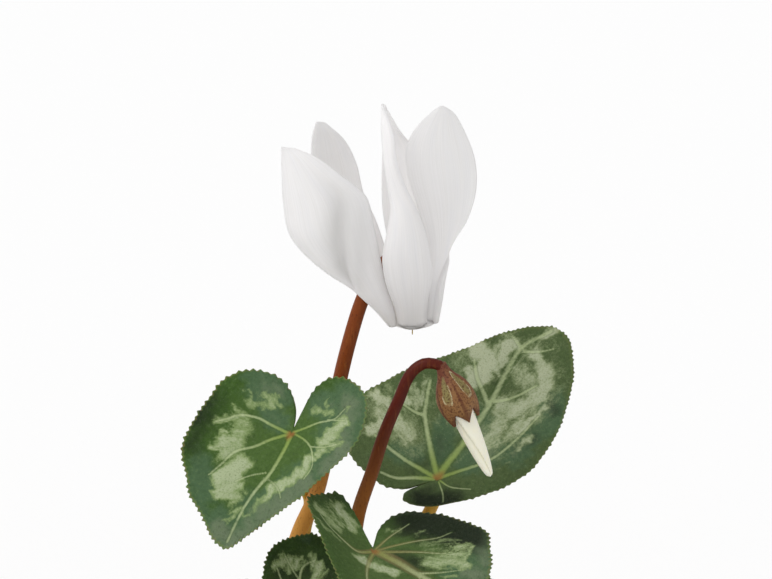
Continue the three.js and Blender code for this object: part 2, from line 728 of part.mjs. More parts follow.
function budCalyx() {
  const { calyx } = BUD;
  const cup = sepalCup(
    [[0.3, 1.2], [1.4, 1.8], [3, 2.7], [4.4, 3.5], [6, 4.1], [7.6, 4.1], [9.4, 3.5]],
    0.6, calyx - 9, 0.4,
  );
  return alongBud(cup);
}

// Assembly.

const sockets = [];
addNode("pot", pot(), clay);
addNode("soil", soil(), earth);
for (const spec of leaves) {
  const leaf = { ...calm, ...spec };
  const [low, high] = leaf.stalkRadii;
  const path = leafStalkPath(leaf);
  addNode(leaf.name, blade(leaf), leafGreen);
  addNode(leaf.name.replace("leaf", "stalk"), stem(path, STALK.leafSteps, low, high), leafStalk);
  sockets.push(stem(path, STALK.leafSteps, low, high, GAP));
}
addNode("flower_corolla", corolla(), petalWhite);
addNode("flower_calyx", flowerCalyx(), calyxBrown);
addNode("flower_stamens", stamens(), pollen);
addNode("flower_stalk", stem(flowerPath, STALK.bloomSteps, 1.8, 1.35), stalkBrown);
addNode("bud_corolla", budCorolla(), petalWhite);
addNode("bud_calyx", budCalyx(), calyxBrown);
addNode("bud_stalk", stem(budPath, STALK.bloomSteps, 2, 1), stalkBrown);
sockets.push(stem(flowerPath, STALK.bloomSteps, 1.8, 1.35, GAP));
sockets.push(stem(budPath, STALK.bloomSteps, 2, 1, GAP));
addNode("tuber", tuber(sockets), corm);

export default plant;
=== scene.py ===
"""A potted cyclamen, dressed for pictures over its CAD frame.

Lengths in the tables are millimetres in the part's own frame: +Z up, and the plant is seen from -Y.
"""

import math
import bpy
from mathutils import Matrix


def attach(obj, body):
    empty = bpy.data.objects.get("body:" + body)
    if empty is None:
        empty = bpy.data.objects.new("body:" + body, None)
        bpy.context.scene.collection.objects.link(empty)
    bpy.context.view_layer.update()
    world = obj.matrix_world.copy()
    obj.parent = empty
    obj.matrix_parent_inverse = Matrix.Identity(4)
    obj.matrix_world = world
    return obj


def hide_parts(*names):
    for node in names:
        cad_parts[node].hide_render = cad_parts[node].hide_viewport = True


bl_info = {
    "name": "Potted cyclamen",
    "version": (1, 0, 0),
    "blender": (4, 5, 0),
    "location": "3D View > Sidebar > Cyclamen",
    "description": "Builds the visual model of a small potted cyclamen",
    "category": "Add Mesh",
}

from types import SimpleNamespace

import bpy
import numpy as np
from bpy.props import FloatProperty, FloatVectorProperty, IntProperty, PointerProperty
from bpy.types import Operator, Panel, PropertyGroup
from mathutils import Vector

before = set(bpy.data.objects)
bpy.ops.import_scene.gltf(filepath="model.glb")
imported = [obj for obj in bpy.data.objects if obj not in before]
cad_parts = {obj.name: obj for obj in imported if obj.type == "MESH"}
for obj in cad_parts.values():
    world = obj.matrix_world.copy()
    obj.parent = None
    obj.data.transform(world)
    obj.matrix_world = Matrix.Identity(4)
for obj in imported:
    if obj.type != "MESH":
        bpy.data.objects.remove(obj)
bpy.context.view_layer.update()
MM = 0.001


# Patterns of the plain leaves.


def smooth(t):
    """0 below 0, 1 above 1 and an even slope between."""
    c = np.clip(t, 0.0, 1.0)
    return c * c * (3 - 2 * c)


def heart(length, width):
    """The outline of a plain heart-shaped leaf, as pairs of degrees and millimetres."""

    def out(degrees):
        """How far out the edge lies, with a point at the tip and a notch at the stalk."""
        point = (length - width) * math.exp(-((degrees / 26) ** 2))
        notch = 1 - 0.93 * float(smooth((degrees - 138) / 42))
        return (width + point) * notch

    half = [0, 12, 26, 42, 60, 80, 100, 120, 138, 150, 160, 170]
    right = [(degrees, out(degrees)) for degrees in half]
    left = [(360 - degrees, out(degrees)) for degrees in half[:0:-1]]
    return [*right, (180, out(180)), *left]


def fan(reach):
    """The veins of a plain leaf: eight side veins with a branch each, and a forked midrib."""
    veins = []
    for side in (1, -1):
        for degrees, share in ((38, 0.92), (74, 0.86), (112, 0.8), (148, 0.66)):
            far = reach * share
            start, middle = (side * degrees, 0.8), (side * degrees, far * 0.5)
            veins.append((0.55, [start, middle, (side * (degrees - 7), far)]))
            branch = [middle, (side * (degrees + 6), far * 0.7), (side * (degrees + 14), far * 0.9)]
            veins.append((0.35, branch))
        fork = [(0, reach * 0.45), (side * 12, reach * 0.68), (side * 17, reach * 0.9)]
        veins.append((0.35, fork))
    return [*veins, (0.7, [(0, 0.8), (1, reach * 0.5), (0, reach * 1.05)])]


def ring_of_silver(inside, outside):
    """A broken silver band round a plain leaf: patches between the veins, each with a spike."""
    strokes = []
    for step, degrees in enumerate(range(-152, 153, 19)):
        wobble = math.sin(step * 2.3)
        middle = (inside + outside) / 2 + 1.1 * wobble
        patch = [(degrees - 6, middle - 0.8), (degrees + 6, middle + 0.6)]
        spike = [(degrees, middle), (degrees + 3 * wobble, outside + 1.4 + wobble)]
        strokes.append((1.3 + 0.5 * wobble, 0.75 + 0.15 * math.cos(step * 1.7), patch))
        strokes.append((0.45, 0.8, spike))
    return strokes


def plain_leaf(at, tip, face, length, width, silver, stalk, wave, phase, droop):
    """A low leaf with a plain outline and pattern; `silver` is the inside and outside of its band."""
    return {
        "at": at, "tip": tip, "face": face, "size": length - 4, "wave": wave, "phase": phase,
        "droop": droop, "teeth": 70, "samples": 5, "rings": 25, "outline": heart(length, width),
        "veins": fan(width), "silver": ring_of_silver(*silver), "stalk": stalk,
        "radii": (1.6, 1.2), "tone": 0.45,
    }


# The plant's measurements.

# A leaf lies about the point `at` where its stalk joins. Its tip and its face are directions, and
# `sinus` is where its notch lies. Outline, veins and strokes are pairs of degrees from the tip, turning
# to the leaf's right, and millimetres from the stalk. A vein starts with its width. A stroke of silver,
# of deep green and painted shadow, or of painted reflection starts with its half width and its
# strength.
# At the distance `size` from the stalk the face is cupped, lifted on its right, drooped towards its tip
# and waved by that many millimetres, and `fold` is its slope beside the midrib. A blade has `teeth`
# teeth of `samples` points each, with a share `bite` of their full height, and `rings` rows of points.
# `radii` are those of the stalk, at its foot and at the blade. A low tone is a young dark leaf and a
# high one an old olive leaf.
CALM = {
    "sinus": 180, "cup": 0.5, "fold": 0.1, "lift": 0, "droop": 0, "wave": 0, "phase": 0,
    "bite": 1.0, "samples": 6, "deep": [], "sheen": [],
}

LEAVES = {
    "left": {
        "at": (-7.5, -20, 145.8), "tip": (-0.5, -0.46, -0.73), "face": (-0.25, -0.73, 0.63),
        "size": 20, "sinus": 170, "fold": 0.22, "droop": 1, "teeth": 104, "rings": 54,
        "outline": [
            (0, 26), (8, 25.6), (18, 23.8), (30, 23.2), (40, 22), (52, 21.7), (62, 20.2), (72, 18.8),
            (85, 17.6), (98, 17.2), (112, 16), (125, 14), (137, 11.8), (148, 8.8), (158, 5.4),
            (164, 3), (170, 1.3), (175, 3.4), (176, 6), (177, 9.4), (182, 12.6), (192, 14.7),
            (205, 16.2), (219, 16.7), (230, 16.2), (249, 14.8), (262, 13.6), (277, 12.4),
            (298, 12.2), (318, 13.6), (335, 15.8), (347, 19.2), (355, 23),
        ],
        "veins": [
            (0.75, [(345, 0.6), (354, 4), (358, 9), (2, 12.5), (3, 17), (1, 24.6)]),
            (0.6, [(80, 0.6), (86, 4.7), (87, 7.3), (81, 10.8), (74, 13), (70, 15)]),
            (0.6, [(60, 0.6), (46, 4.4), (42, 7.6), (43, 11.6), (37, 15), (34, 18)]),
            (0.35, [(3, 9.1), (15, 11.6), (20, 14.4)]),
            (0.35, [(2, 10), (350, 10.4), (341, 11.6), (337, 13.2)]),
            (0.45, [(245, 0.8), (266, 3), (275, 5), (283, 6.4), (297, 8.8), (312, 10.2)]),
            (0.3, [(276, 5.2), (266, 8), (258, 10.4)]),
            (0.5, [(200, 0.6), (220, 3), (222, 6), (226, 9.4), (220, 12)]),
            (0.3, [(224, 8), (232, 11.5)]),
        ],
        "silver": [
            (1.6, 0.4, [(103, 9.5), (123, 7)]),
            (3.4, 0.4, [(67, 10), (48, 13), (28, 13.5), (17, 16.5)]),
            (1.6, 0.35, [(11, 16), (7, 19.5)]), (2.2, 0.4, [(239, 10), (268, 7.5)]),
            (1.8, 0.4, [(308, 8.5), (348, 12.5)]), (0.6, 0.7, [(106, 12.5), (105, 11), (99, 10.5)]),
            (1, 0.65, [(98, 10.5), (101, 9), (110, 7.5)]), (1.2, 0.75, [(119, 9), (120, 8), (118, 7)]),
            (0.55, 0.75, [(129, 8), (130, 5.5)]), (0.6, 0.65, [(88, 13), (83, 11)]),
            (0.8, 0.85, [(70, 15), (73, 13.5), (81, 10.5)]), (2.2, 0.65, [(73, 9.5), (61, 10)]),
            (2.2, 0.85, [(58, 10.5), (47, 12.5)]), (1.5, 0.9, [(55, 13.5), (45, 13.5)]),
            (0.5, 0.9, [(63, 14), (60, 12)]), (0.55, 0.95, [(51, 16), (49, 15), (43, 14)]),
            (1.9, 1, [(29, 11), (30, 14), (28, 16.5)]), (1.6, 1, [(26, 12), (23, 14.5)]),
            (1.5, 1, [(22, 17), (15, 14.5)]), (1.2, 0.95, [(20, 18.5), (12, 16.5)]),
            (0.5, 0.95, [(23, 19.5), (21, 17.5)]), (0.7, 0.8, [(11, 18), (8, 16)]),
            (0.6, 0.8, [(8, 19.5), (4, 17.5)]), (0.4, 0.75, [(8, 21.5), (4, 20)]),
            (1.3, 0.95, [(295, 7), (311, 8.5), (326, 9.5), (340, 11)]),
            (1.1, 0.85, [(349, 11), (349, 13), (350, 14)]), (0.7, 0.7, [(354, 14), (356, 16.5)]),
            (0.5, 0.65, [(3, 18.5), (356, 18)]), (1.6, 0.9, [(234, 11), (244, 9), (258, 7.5)]),
            (0.9, 0.8, [(256, 11), (266, 8.5), (284, 7.5)]),
            (0.8, 0.75, [(196, 6.5), (207, 7.5), (219, 9.5)]), (0.4, 0.7, [(199, 10), (208, 8.5)]),
            (0.5, 0.7, [(220, 12.5), (225, 12)]),
        ],
        "deep": [
            (3.5, 1, [(83, 18.5), (69, 18.5)]), (2.5, 0.8, [(63, 18.5), (53, 20)]),
            (1.6, 0.6, [(88, 15), (81, 14.5)]), (1.2, 0.5, [(80, 6), (58, 8)]),
            (1, 0.5, [(321, 5), (291, 3.5)]),
        ],
        "sheen": [
            (3.2, 0.55, [(38, 19.5), (26, 21)]), (3.6, 1, [(6, 23.5), (356, 24.5), (354, 20)]),
            (3.8, 1, [(349, 17), (332, 14), (309, 11.5)]), (3.2, 1, [(286, 11), (261, 13)]),
            (4, 0.95, [(219, 13), (247, 11.5)]), (3, 0.85, [(120, 11.5), (133, 9)]),
            (1.8, 0.75, [(102, 6), (112, 3.5)]), (2, 0.55, [(18, 23), (12, 23.5)]),
            (2.4, 0.8, [(199, 8.5), (213, 10)]),
        ],
        "stalk": [
            (-2, 4, 74), (-5, 4, 95), (-5.8, 2.4, 113), (-4.3, 1.6, 121), (-7, -3.5, 129.5),
            (-8, -11, 137.5),
        ],
        "radii": (1.7, 1.2), "tone": 0.0,
    },
    "right": {
        "at": (21.7, 6, 124), "tip": (0.56, 0.61, 0.57), "face": (-0.12, -0.62, 0.78),
        "size": 22, "sinus": 215, "fold": 0.12, "bite": 0.7, "teeth": 122, "samples": 5, "rings": 72,
        "outline": [
            (3, 41.4), (9, 41), (14, 38.6), (20, 35.6), (27, 31.6), (35, 27.8), (43, 24.4),
            (56, 19.6), (67, 15.4), (84, 10.4), (120, 6.6), (160, 6.4), (190, 7.6), (204, 8.2),
            (212, 7.2), (213, 4), (215, 1.2), (218, 4), (218, 6.6), (230, 11.2), (244, 15),
            (253, 18.4), (262, 20.4), (272, 22.2), (281, 23.8), (289, 24.4), (298, 24.3),
            (309, 24.9), (321, 26.1), (332, 28), (340, 30.4), (346, 33.4), (352, 36.6), (358, 39.6),
        ],
        "veins": [
            (1.35, [(350, 0.8), (358, 4), (1, 9), (0, 20), (358, 28), (358, 34.3), (3, 40.4)]),
            (0.85, [(359, 19.8), (353, 21.7), (347, 24.1), (343, 27.7)]),
            (0.75, [(359, 20.4), (6, 22.4), (10, 25.1), (13, 29)]),
            (0.7, [(358, 34), (355, 35), (352, 36)]),
            (0.6, [(359, 33.6), (4, 35.2), (8, 37.6)]),
            (1.1, [(330, 0.8), (316, 4.4), (316, 12.3), (317, 15), (320, 18), (323, 22)]),
            (0.65, [(316, 14.6), (310, 15.7), (303, 18.6)]),
            (0.9, [(275, 0.8), (271, 4.3), (270, 8), (272, 12.4), (274, 16)]),
            (0.85, [(245, 0.8), (241, 4.6), (239, 8.6), (244, 11.6)]),
            (0.75, [(30, 0.8), (38, 4), (39, 11.6), (32, 18), (26, 24.5)]),
            (0.4, [(90, 0.8), (94, 3.4), (80, 7.6)]),
            (0.3, [(120, 0.8), (128, 4), (133, 5.6)]),
        ],
        "silver": [
            (7, 0.45, [(3, 32), (13, 28.5), (17, 21), (23, 14.5)]),
            (5, 0.45, [(295, 21), (294, 15), (296, 10)]),
            (4.5, 0.45, [(338, 26.5), (350, 27.5), (356, 33)]), (3, 0.4, [(345, 21.5), (355, 19)]),
            (2.6, 0.4, [(320, 21.5), (322, 13.5)]), (2.4, 0.4, [(340, 13.5), (355, 12)]),
            (2, 0.35, [(44, 14.5), (37, 18.5)]), (2, 0.35, [(4, 39), (8, 38.5)]),
            (1.6, 0.35, [(2, 4.5), (16, 9)]), (2.6, 1, [(343, 30), (348, 28.5), (348, 24.5)]),
            (1.6, 0.9, [(342, 25.5), (347, 22.5)]), (1.5, 0.95, [(353, 31), (353, 33), (355, 34.5)]),
            (1.2, 0.85, [(354, 27), (355, 30.5)]), (0.5, 0.8, [(345, 32), (345, 30)]),
            (0.6, 0.8, [(350, 33), (350, 31)]), (0.5, 0.7, [(347, 32), (348, 30.5)]),
            (1.6, 0.85, [(3, 34.5), (8, 33)]), (2.2, 0.85, [(11, 32.5), (16, 30), (18, 27)]),
            (2.6, 0.7, [(2, 29.5), (9, 28), (14, 27.5)]), (2.6, 0.8, [(7, 21), (15, 21.5), (18, 25)]),
            (2.2, 0.75, [(13, 18.5), (20, 15), (23, 13)]), (1.8, 0.7, [(24, 21), (27, 17.5)]),
            (0.9, 0.85, [(24, 27), (25, 23.5), (29, 19)]), (1, 0.7, [(34, 21), (38, 18)]),
            (1.6, 0.9, [(292, 22.5), (295, 19.5)]), (1.5, 0.85, [(304, 20.5), (307, 18.5)]),
            (1.4, 0.9, [(274, 17.5), (285, 16.5), (292, 16)]),
            (2.6, 0.75, [(291, 18.5), (293, 14.5), (295, 11.5)]), (1.4, 0.7, [(313, 21), (312, 17.5)]),
            (1, 0.7, [(320, 21.5), (317, 17.5)]), (1, 0.8, [(2, 38.5), (4, 41.5)]),
            (0.6, 0.6, [(350, 35.5), (353, 35)]), (1, 0.6, [(329, 18), (333, 16)]),
        ],
        "deep": [
            (1.4, 0.8, [(20, 29), (29, 28)]), (1.6, 0.8, [(37, 18.5), (37, 21)]),
            (2, 0.6, [(331, 9), (324, 5)]), (1.4, 0.6, [(357, 27.5), (358, 25)]),
            (3, 1.15, [(119, 6), (181, 6)]), (1.4, 0.7, [(258, 5.5), (294, 4.5)]),
        ],
        "sheen": [
            (2.6, 0.9, [(0, 15.5), (18, 12.5)]), (2.6, 0.75, [(24, 28.5), (33, 25.5)]),
            (2.6, 0.8, [(30, 7.5), (31, 12.5)]), (2, 0.7, [(274, 10), (285, 7)]),
            (2.2, 0.7, [(335, 11), (332, 6)]), (2.2, 0.8, [(36, 20.5), (44, 16.5)]),
        ],
        "stalk": [(5, 1, 74), (10, 4, 96), (17, 6, 110)],
        "radii": (1.7, 1.25), "tone": 0.8,
    },
    "front": {
        "at": (8.8, -32, 126.1), "tip": (0.57, -0.81, -0.13), "face": (0.05, -0.12, 0.99),
        "size": 22, "sinus": 200, "fold": 0.22, "lift": 13, "droop": 2, "teeth": 98,
        "rings": 54,
        "outline": [
            (0, 26), (10, 25.6), (20, 24.8), (32, 23.6), (43, 22.2), (54, 18.6), (71, 14.6),
            (97, 12.2), (119, 12.2), (132, 13.2), (146, 14), (163, 13.4), (180, 12.6), (186, 9),
            (188, 3.6), (202, 1.3), (219, 3.4), (223, 6.8), (232, 10.4), (247, 13), (263, 14.8),
            (277, 17), (290, 19.8), (298, 22.2), (308, 22.6), (323, 23.9), (342, 25.2),
        ],
        "veins": [
            (1.3, [(330, 0.7), (342, 3), (344, 6), (346, 10), (346, 17), (348, 24)]),
            (0.5, [(344, 11.6), (336, 14.6), (328, 18.4)]),
            (0.45, [(346, 12), (358, 15), (6, 20)]),
            (0.36, [(285, 0.8), (287, 3.3), (292, 8.9), (295, 12.9), (292, 15.6)]),
            (0.45, [(318, 0.8), (314, 3.2), (313, 8.7), (314, 14.3), (307, 19)]),
            (0.6, [(85, 0.8), (86, 4.3), (106, 6.2), (123, 8.8), (136, 11)]),
            (0.5, [(40, 0.8), (46, 5), (42, 11), (36, 19)]),
            (0.3, [(245, 0.8), (252, 5), (258, 10)]),
        ],
        "silver": [
            (2.1, 0.45, [(153, 10), (158, 7)]), (2.8, 0.4, [(319, 11), (316, 17.5)]),
            (2, 0.4, [(46, 4), (5, 8)]), (1.5, 0.85, [(168, 10), (169, 8), (167, 6)]),
            (1.3, 0.7, [(142, 11.5), (139, 9.5), (132, 7.5)]), (1, 0.65, [(153, 10), (148, 7)]),
            (0.7, 0.65, [(120, 11.5), (109, 9.5), (102, 7.5)]),
            (1.7, 0.9, [(60, 5.5), (31, 6.5), (8, 8.5)]), (0.9, 0.55, [(240, 6.5), (256, 7.5)]),
            (0.8, 0.45, [(280, 9), (281, 11)]), (1.6, 0.45, [(302, 10), (302, 13), (302, 15)]),
            (2.1, 0.7, [(328, 12), (321, 14.5), (315, 16.5)]),
            (1.6, 0.75, [(329, 13.5), (323, 16), (325, 18.5)]),
            (0.6, 0.8, [(321, 18.5), (314, 18.5), (309, 19.5)]), (1.3, 0.65, [(314, 15), (308, 17.5)]),
            (0.4, 0.6, [(308, 16), (304, 18)]), (0.4, 0.6, [(308, 14.5), (302, 17)]),
            (0.7, 0.7, [(338, 16.5), (334, 18)]),
        ],
        "deep": [
            (4.4, 1.5, [(263, 11.5), (286, 15), (299, 18.5)]), (3, 1.2, [(247, 10.5), (271, 12)]),
            (2.4, 1, [(331, 5.5), (334, 11)]), (1.8, 0.7, [(182, 11), (174, 12)]),
            (2.4, 1.1, [(290, 13.5), (300, 17.5)]),
        ],
        "sheen": [
            (2.4, 1, [(301, 20.5), (319, 22)]), (3, 0.95, [(329, 19.5), (329, 22)]),
        ],
        "stalk": [(3, -7, 74), (6, -16, 92), (9, -26, 110)],
        "radii": (1.7, 1.25), "tone": 0.25,
    },
    "front_low": {
        "at": (-6, -30, 113.5), "tip": (0, 0.75, 0.65), "face": (-0.1, -0.65, 0.75),
        "size": 12, "fold": 0.12, "teeth": 64, "rings": 34,
        "outline": [
            (0, 14.4), (10, 14.8), (22, 13.8), (40, 11), (55, 9.8), (72, 9.3), (95, 9.4), (120, 10),
            (145, 9.6), (162, 7.6), (173, 4), (180, 1.3), (187, 4), (198, 7.6), (215, 9.6),
            (240, 10), (268, 9), (292, 8.2), (308, 9.2), (322, 11), (335, 13), (350, 14),
        ],
        "veins": [
            (0.6, [(0, 0.6), (0, 5), (6, 8), (20, 9.6)]),
            (0.4, [(320, 0.6), (322, 5), (330, 9)]),
            (0.4, [(60, 0.6), (62, 5), (56, 8)]),
            (0.4, [(100, 0.6), (106, 4.5), (112, 7.4)]),
            (0.4, [(250, 0.6), (256, 4.5), (252, 7.6)]),
            (0.35, [(0, 5), (348, 8), (344, 11)]),
        ],
        "silver": [
            (1.6, 0.4, [(334, 9), (1, 8)]), (0.8, 0.8, [(327, 9), (337, 10), (344, 10.5)]),
            (1.2, 0.8, [(336, 9.5), (346, 9.5)]), (0.5, 0.8, [(344, 8), (353, 9.5)]),
            (0.6, 0.8, [(355, 8), (1, 10)]), (1.1, 0.7, [(343, 7.5), (359, 8)]),
            (0.6, 0.6, [(5, 9), (9, 8)]), (0.6, 0.85, [(13, 10), (18, 8.5)]),
            (1.4, 0.8, [(17, 9.5), (29, 8), (33, 6)]), (0.5, 0.65, [(40, 8.5), (43, 7)]),
        ],
        "deep": [
            (9, 0.85, [(328, 7), (17, 7.5)]),
        ],
        "sheen": [
            (0.8, 0.5, [(2, 14), (6, 13.5)]),
        ],
        "stalk": [(-5, -8, 74), (-8, -15, 90), (-8, -24, 102)],
        "radii": (1.4, 1.0), "tone": 0.1,
    },
    "right_low": plain_leaf(
        (30, -22, 100), (0.78, -0.58, -0.25), (0.2, -0.2, 0.96), 23, 19, (8.5, 15),
        [(8, -5, 74), (14, -9, 87), (23, -16, 95.5)], wave=1, phase=0, droop=3,
    ),
    "left_low": plain_leaf(
        (-28, -7, 93), (-0.95, -0.25, -0.25), (-0.2, -0.15, 0.97), 23, 19, (9, 14.6),
        [(-9, -3, 74), (-15, -5, 84), (-23, -6, 88.5)], wave=1, phase=60, droop=3,
    ),
    "far_left": plain_leaf(
        (-24, 17, 86), (-0.85, 0.5, -0.12), (-0.1, 0.12, 0.98), 22, 18, (8.4, 14),
        [(-7, 4, 74), (-12, 8, 80.5), (-19, 13.5, 82.5)], wave=0.8, phase=120, droop=2.5,
    ),
    "far": plain_leaf(
        (3, 27, 90), (0.05, 0.99, -0.1), (0, 0.12, 0.99), 22, 17.5, (8, 13.8),
        [(1, 8, 74), (2, 13, 82), (3, 22, 86)], wave=0.8, phase=200, droop=2.5,
    ),
    "far_right": plain_leaf(
        (28, 13, 86.5), (0.93, 0.36, -0.12), (0.1, 0.1, 0.98), 22, 18, (8.4, 14.2),
        [(8, 4, 74), (14, 7, 81), (23, 11, 83)], wave=0.9, phase=300, droop=2.5,
    ),
}

# Petals: each is a ribbon between two edges, from the mouth of the flower outwards. A valley runs
# along a petal: pairs of its place along and across it, from 0 to 1 each way, and its depth. A lap
# is the free edge of a petal turned over on itself: pairs of place along and across, and its height.
# `bow` is how far a petal bulges in its middle, from the mouth to its tip.
MOUTH = (16.5, 0, 161)
PETALS = [
    {
        "left": [(-4.9, -0.8, 0.8), (-8.2, -2, 4.8), (-13.8, -3.1, 9.7), (-20.7, -4.1, 15.9),
                 (-24.4, -4.8, 21.3), (-25.5, -5.4, 28), (-25.7, -6, 34.2), (-25.7, -6.6, 38),
                 (-25.7, -7.2, 40.4)],
        "right": [(-3.2, -3.4, 1), (-3.7, -4.6, 5.2), (-5.4, -5.9, 11.4), (-6.6, -7, 18.2),
                  (-7.7, -8.2, 24.6), (-9.2, -9.2, 30.9), (-14, -9.8, 35.4), (-18.9, -9.4, 39.1),
                  (-23, -8.2, 40.5)],
        "bow": [0.6, 1, 1.4, 1.8, 2, 1.8, 1.2, 0.6, 0.1],
        "valley": ([(0.16, 0), (0.26, 0.2), (0.36, 0.44), (0.5, 0.6), (0.66, 0.7), (0.85, 0.76)], 2.4),
    },
    {
        "left": [(-2.8, -3.3, 1.2), (-3.6, -5.5, 6.2), (-5.4, -7.5, 12.2), (-6, -8.5, 17.8),
                 (-5.2, -8.6, 22.7), (-4.4, -8, 27.6), (-5, -7, 31.8), (-5.6, -6, 36.1),
                 (-6.1, -4, 41.2), (-6.2, -1.6, 44.3), (-6.2, 1.4, 46.1)],
        "right": [(2.8, -3.2, 1.2), (3, -5, 7.4), (3.8, -6.5, 13), (3.4, -7.8, 18.3),
                  (2.4, -8.4, 23.2), (0.6, -8.6, 28.3), (-1.2, -8.4, 32.1), (-3, -7.6, 36.8),
                  (-3.8, -5.6, 42), (-5, -2.4, 45), (-5.9, 1.4, 46.2)],
        "bow": [1.1, 1.2, 1.2, 1.2, 1.1, 0.9, 0.7, 0.6, 0.4, 0.2, 0.1],
    },
    {
        "left": [(2.6, -2.9, 1.4), (2.8, -4.2, 6.7), (2.9, -4.5, 11.4), (3.3, -4.2, 16),
                 (2.6, -3.8, 20.7), (0.8, -3, 26.6), (-1.1, -1.4, 32.4), (-1.4, -0.4, 37.4),
                 (0.4, 0.4, 41.4), (3.4, 1, 44.5), (5.2, 1.2, 45.9)],
        "right": [(4.3, 0.5, 1.1), (5, 1.6, 4.6), (5.6, 2.4, 8.1), (6.4, 3.2, 11.9),
                  (8.4, 4.4, 16.3), (11, 5.6, 20.4), (12.7, 6, 27), (12.3, 5.6, 33.3),
                  (10.3, 4.6, 39.2), (8, 3, 43.9), (5.9, 1.5, 45.9)],
        "bow": [0.8, 0.9, 1, 1.1, 1.3, 1.6, 1.8, 1.6, 1.2, 0.6, 0.1],
        "lap": ([(0, 0.3), (0.1, 0.3), (0.17, 0.34), (0.24, 0.46), (0.3, 0.66), (0.36, 0.98)], 0.7),
    },
    {
        "left": [(0.6, 4.3, 1), (-1.4, 7, 2.6), (-3.4, 10, 7.8), (-5, 12.2, 13.5), (-6, 14, 19.2),
                 (-6.2, 15, 25.2), (-6, 15, 31.8), (-6, 14.4, 37.2), (-6, 13, 42.2)],
        "right": [(3.4, 2.7, 1), (4.4, 5, 2.7), (5, 7, 9.1), (4.8, 8.4, 15), (4, 9.2, 21.2),
                  (2.6, 9.6, 27.3), (0.4, 10, 33.6), (-3, 11, 37.8), (-5.4, 12.4, 42)],
        "bow": [-1, -1.2, -1.4, -1.6, -1.6, -1.6, -1.2, -0.7, -0.1],
    },
    {
        "left": [(-4, 1.5, 1), (-8.4, 3.8, 4), (-13, 5.4, 11.3), (-17, 6.6, 18.7),
                 (-19.4, 7.2, 26.1), (-20.2, 7.6, 32.5), (-20, 8, 37.1), (-19.2, 8.4, 40.1)],
        "right": [(-1.5, 4, 1), (-3, 7.4, 4.6), (-5, 9.6, 11.2), (-7.2, 10.6, 17.9),
                  (-9.8, 11, 24), (-11.2, 11, 30.2), (-13.6, 10.4, 35.5), (-17.4, 9.4, 39.6)],
        "bow": [-0.8, -1.1, -1.4, -1.6, -1.6, -1.4, -0.9, -0.1],
    },
]

BLOOM_STALKS = {
    "flower": {
        "path": [
            (-6, -1, 73.5), (-9, -2, 92), (-9, -2.8, 106), (-6.6, -3, 116), (-3.1, -3, 124.6),
            (-0.4, -3, 136.9), (2, -2, 150.1), (4.2, -1, 159.1), (6.2, 0, 165.6),
            (8, 0.4, 169.8), (10, 0.4, 172.9), (12.3, 0.2, 175.5), (14.6, 0, 176.6),
            (16.1, 0, 175.7), (16.5, 0, 173.6),
        ],
        "radii": (1.8, 1.35),
    },
    "bud": {
        "path": [
            (3, -3, 73.5), (3, -7, 94), (4, -10.6, 110), (5.6, -12.4, 124.8), (8.4, -12, 133.9),
            (11, -11, 142.2), (14, -9.8, 149.4), (15.4, -9.3, 152.9), (17, -9, 155.1),
            (19, -9, 156.3), (20.8, -9, 156.2), (22, -9, 155.7),
            (22.75, -9.14, 154.5), (23.3, -9.36, 153.2),
        ],
        "radii": (2.0, 1.05),
    },
}

# The cup at the mouth, the stamens with their thread and the furled bud are turned about an axis:
# pairs of radius and height. The furled petals make folds that wind up the bud. A calyx has pairs of
# height and radius, a wall, and five points that stand up and lean in; the flower's own is upside
# down above the mouth.
MOUTH_CUP = [
    (0, 9.7), (1.9, 9.4), (2.6, 7), (2.6, 3), (3.2, 1.4), (4.0, 0.55), (4.45, 0.75),
    (4.65, 1.3), (4.3, 2.2), (3.5, 3.6), (3.3, 6), (3.2, 8.2), (2.4, 9.9), (0, 10.5),
]
STAMENS = [
    (0, -2.3), (0.09, -2.2), (0.11, 0.6), (0.34, 1.4), (1, 2.6), (1.8, 6), (1.6, 8), (0.9, 8.8),
    (0, 9),
]
FURLED_BUD = [
    (0, 2.9), (1.2, 3), (2, 4.4), (2.9, 6.5), (2.9, 8.6), (2.35, 11.2), (2.15, 13.5),
    (1.9, 16.4), (1.5, 19.8), (1.05, 22.4), (0.62, 23.8), (0, 24.3),
]
FOLDS = {"count": 2.0, "twist": 0.028, "start": 0.28, "depth": 0.11}
FLOWER_CALYX = {
    "profile": [(0, 1.5), (0.5, 2.4), (1.5, 3.8), (3, 4.3), (5, 4.3)],
    "wall": 0.62, "points": 3, "lean": 0,
}
FLOWER_CALYX_HEIGHT = 12.4
BUD_CALYX = {
    "profile": [
        (-1.0, 1.1), (0.4, 1.35), (1.7, 1.9), (3, 2.75), (4.4, 3.5), (6, 4.05), (7.6, 4.05),
        (9.4, 3.4),
    ],
    "wall": 0.6, "points": 2.4, "lean": 0.4,
}
BUD_AT = (22.4, -9, 155.2)
BUD_AXIS = (0.4, -0.16, -0.9)

# The pot has radii at its rim and its foot, and a band below the rim that stands out by a step. The
# bars that cut its drain holes stand on a ring and go from low to high. The soil narrows from its top
# to its bottom, and its seat for the tuber is a hollow in the middle of its top.
POT = {"height": 80, "rim": 46, "base": 32, "wall": 3.2, "floor": 4, "band": 17, "step": 2}
DRAIN = {"count": 4, "radius": 4, "ring": 16, "low": -2, "high": 6}
SOIL = {
    "top": 71, "radius": 38.6, "bottom": 4.4, "bottom_radius": 29.2, "seat": 60, "seat_radius": 13.5,
    "ring": 0.8, "sectors": 150,
}
TUBER = {"radius": 15, "height": 17, "top": 78}

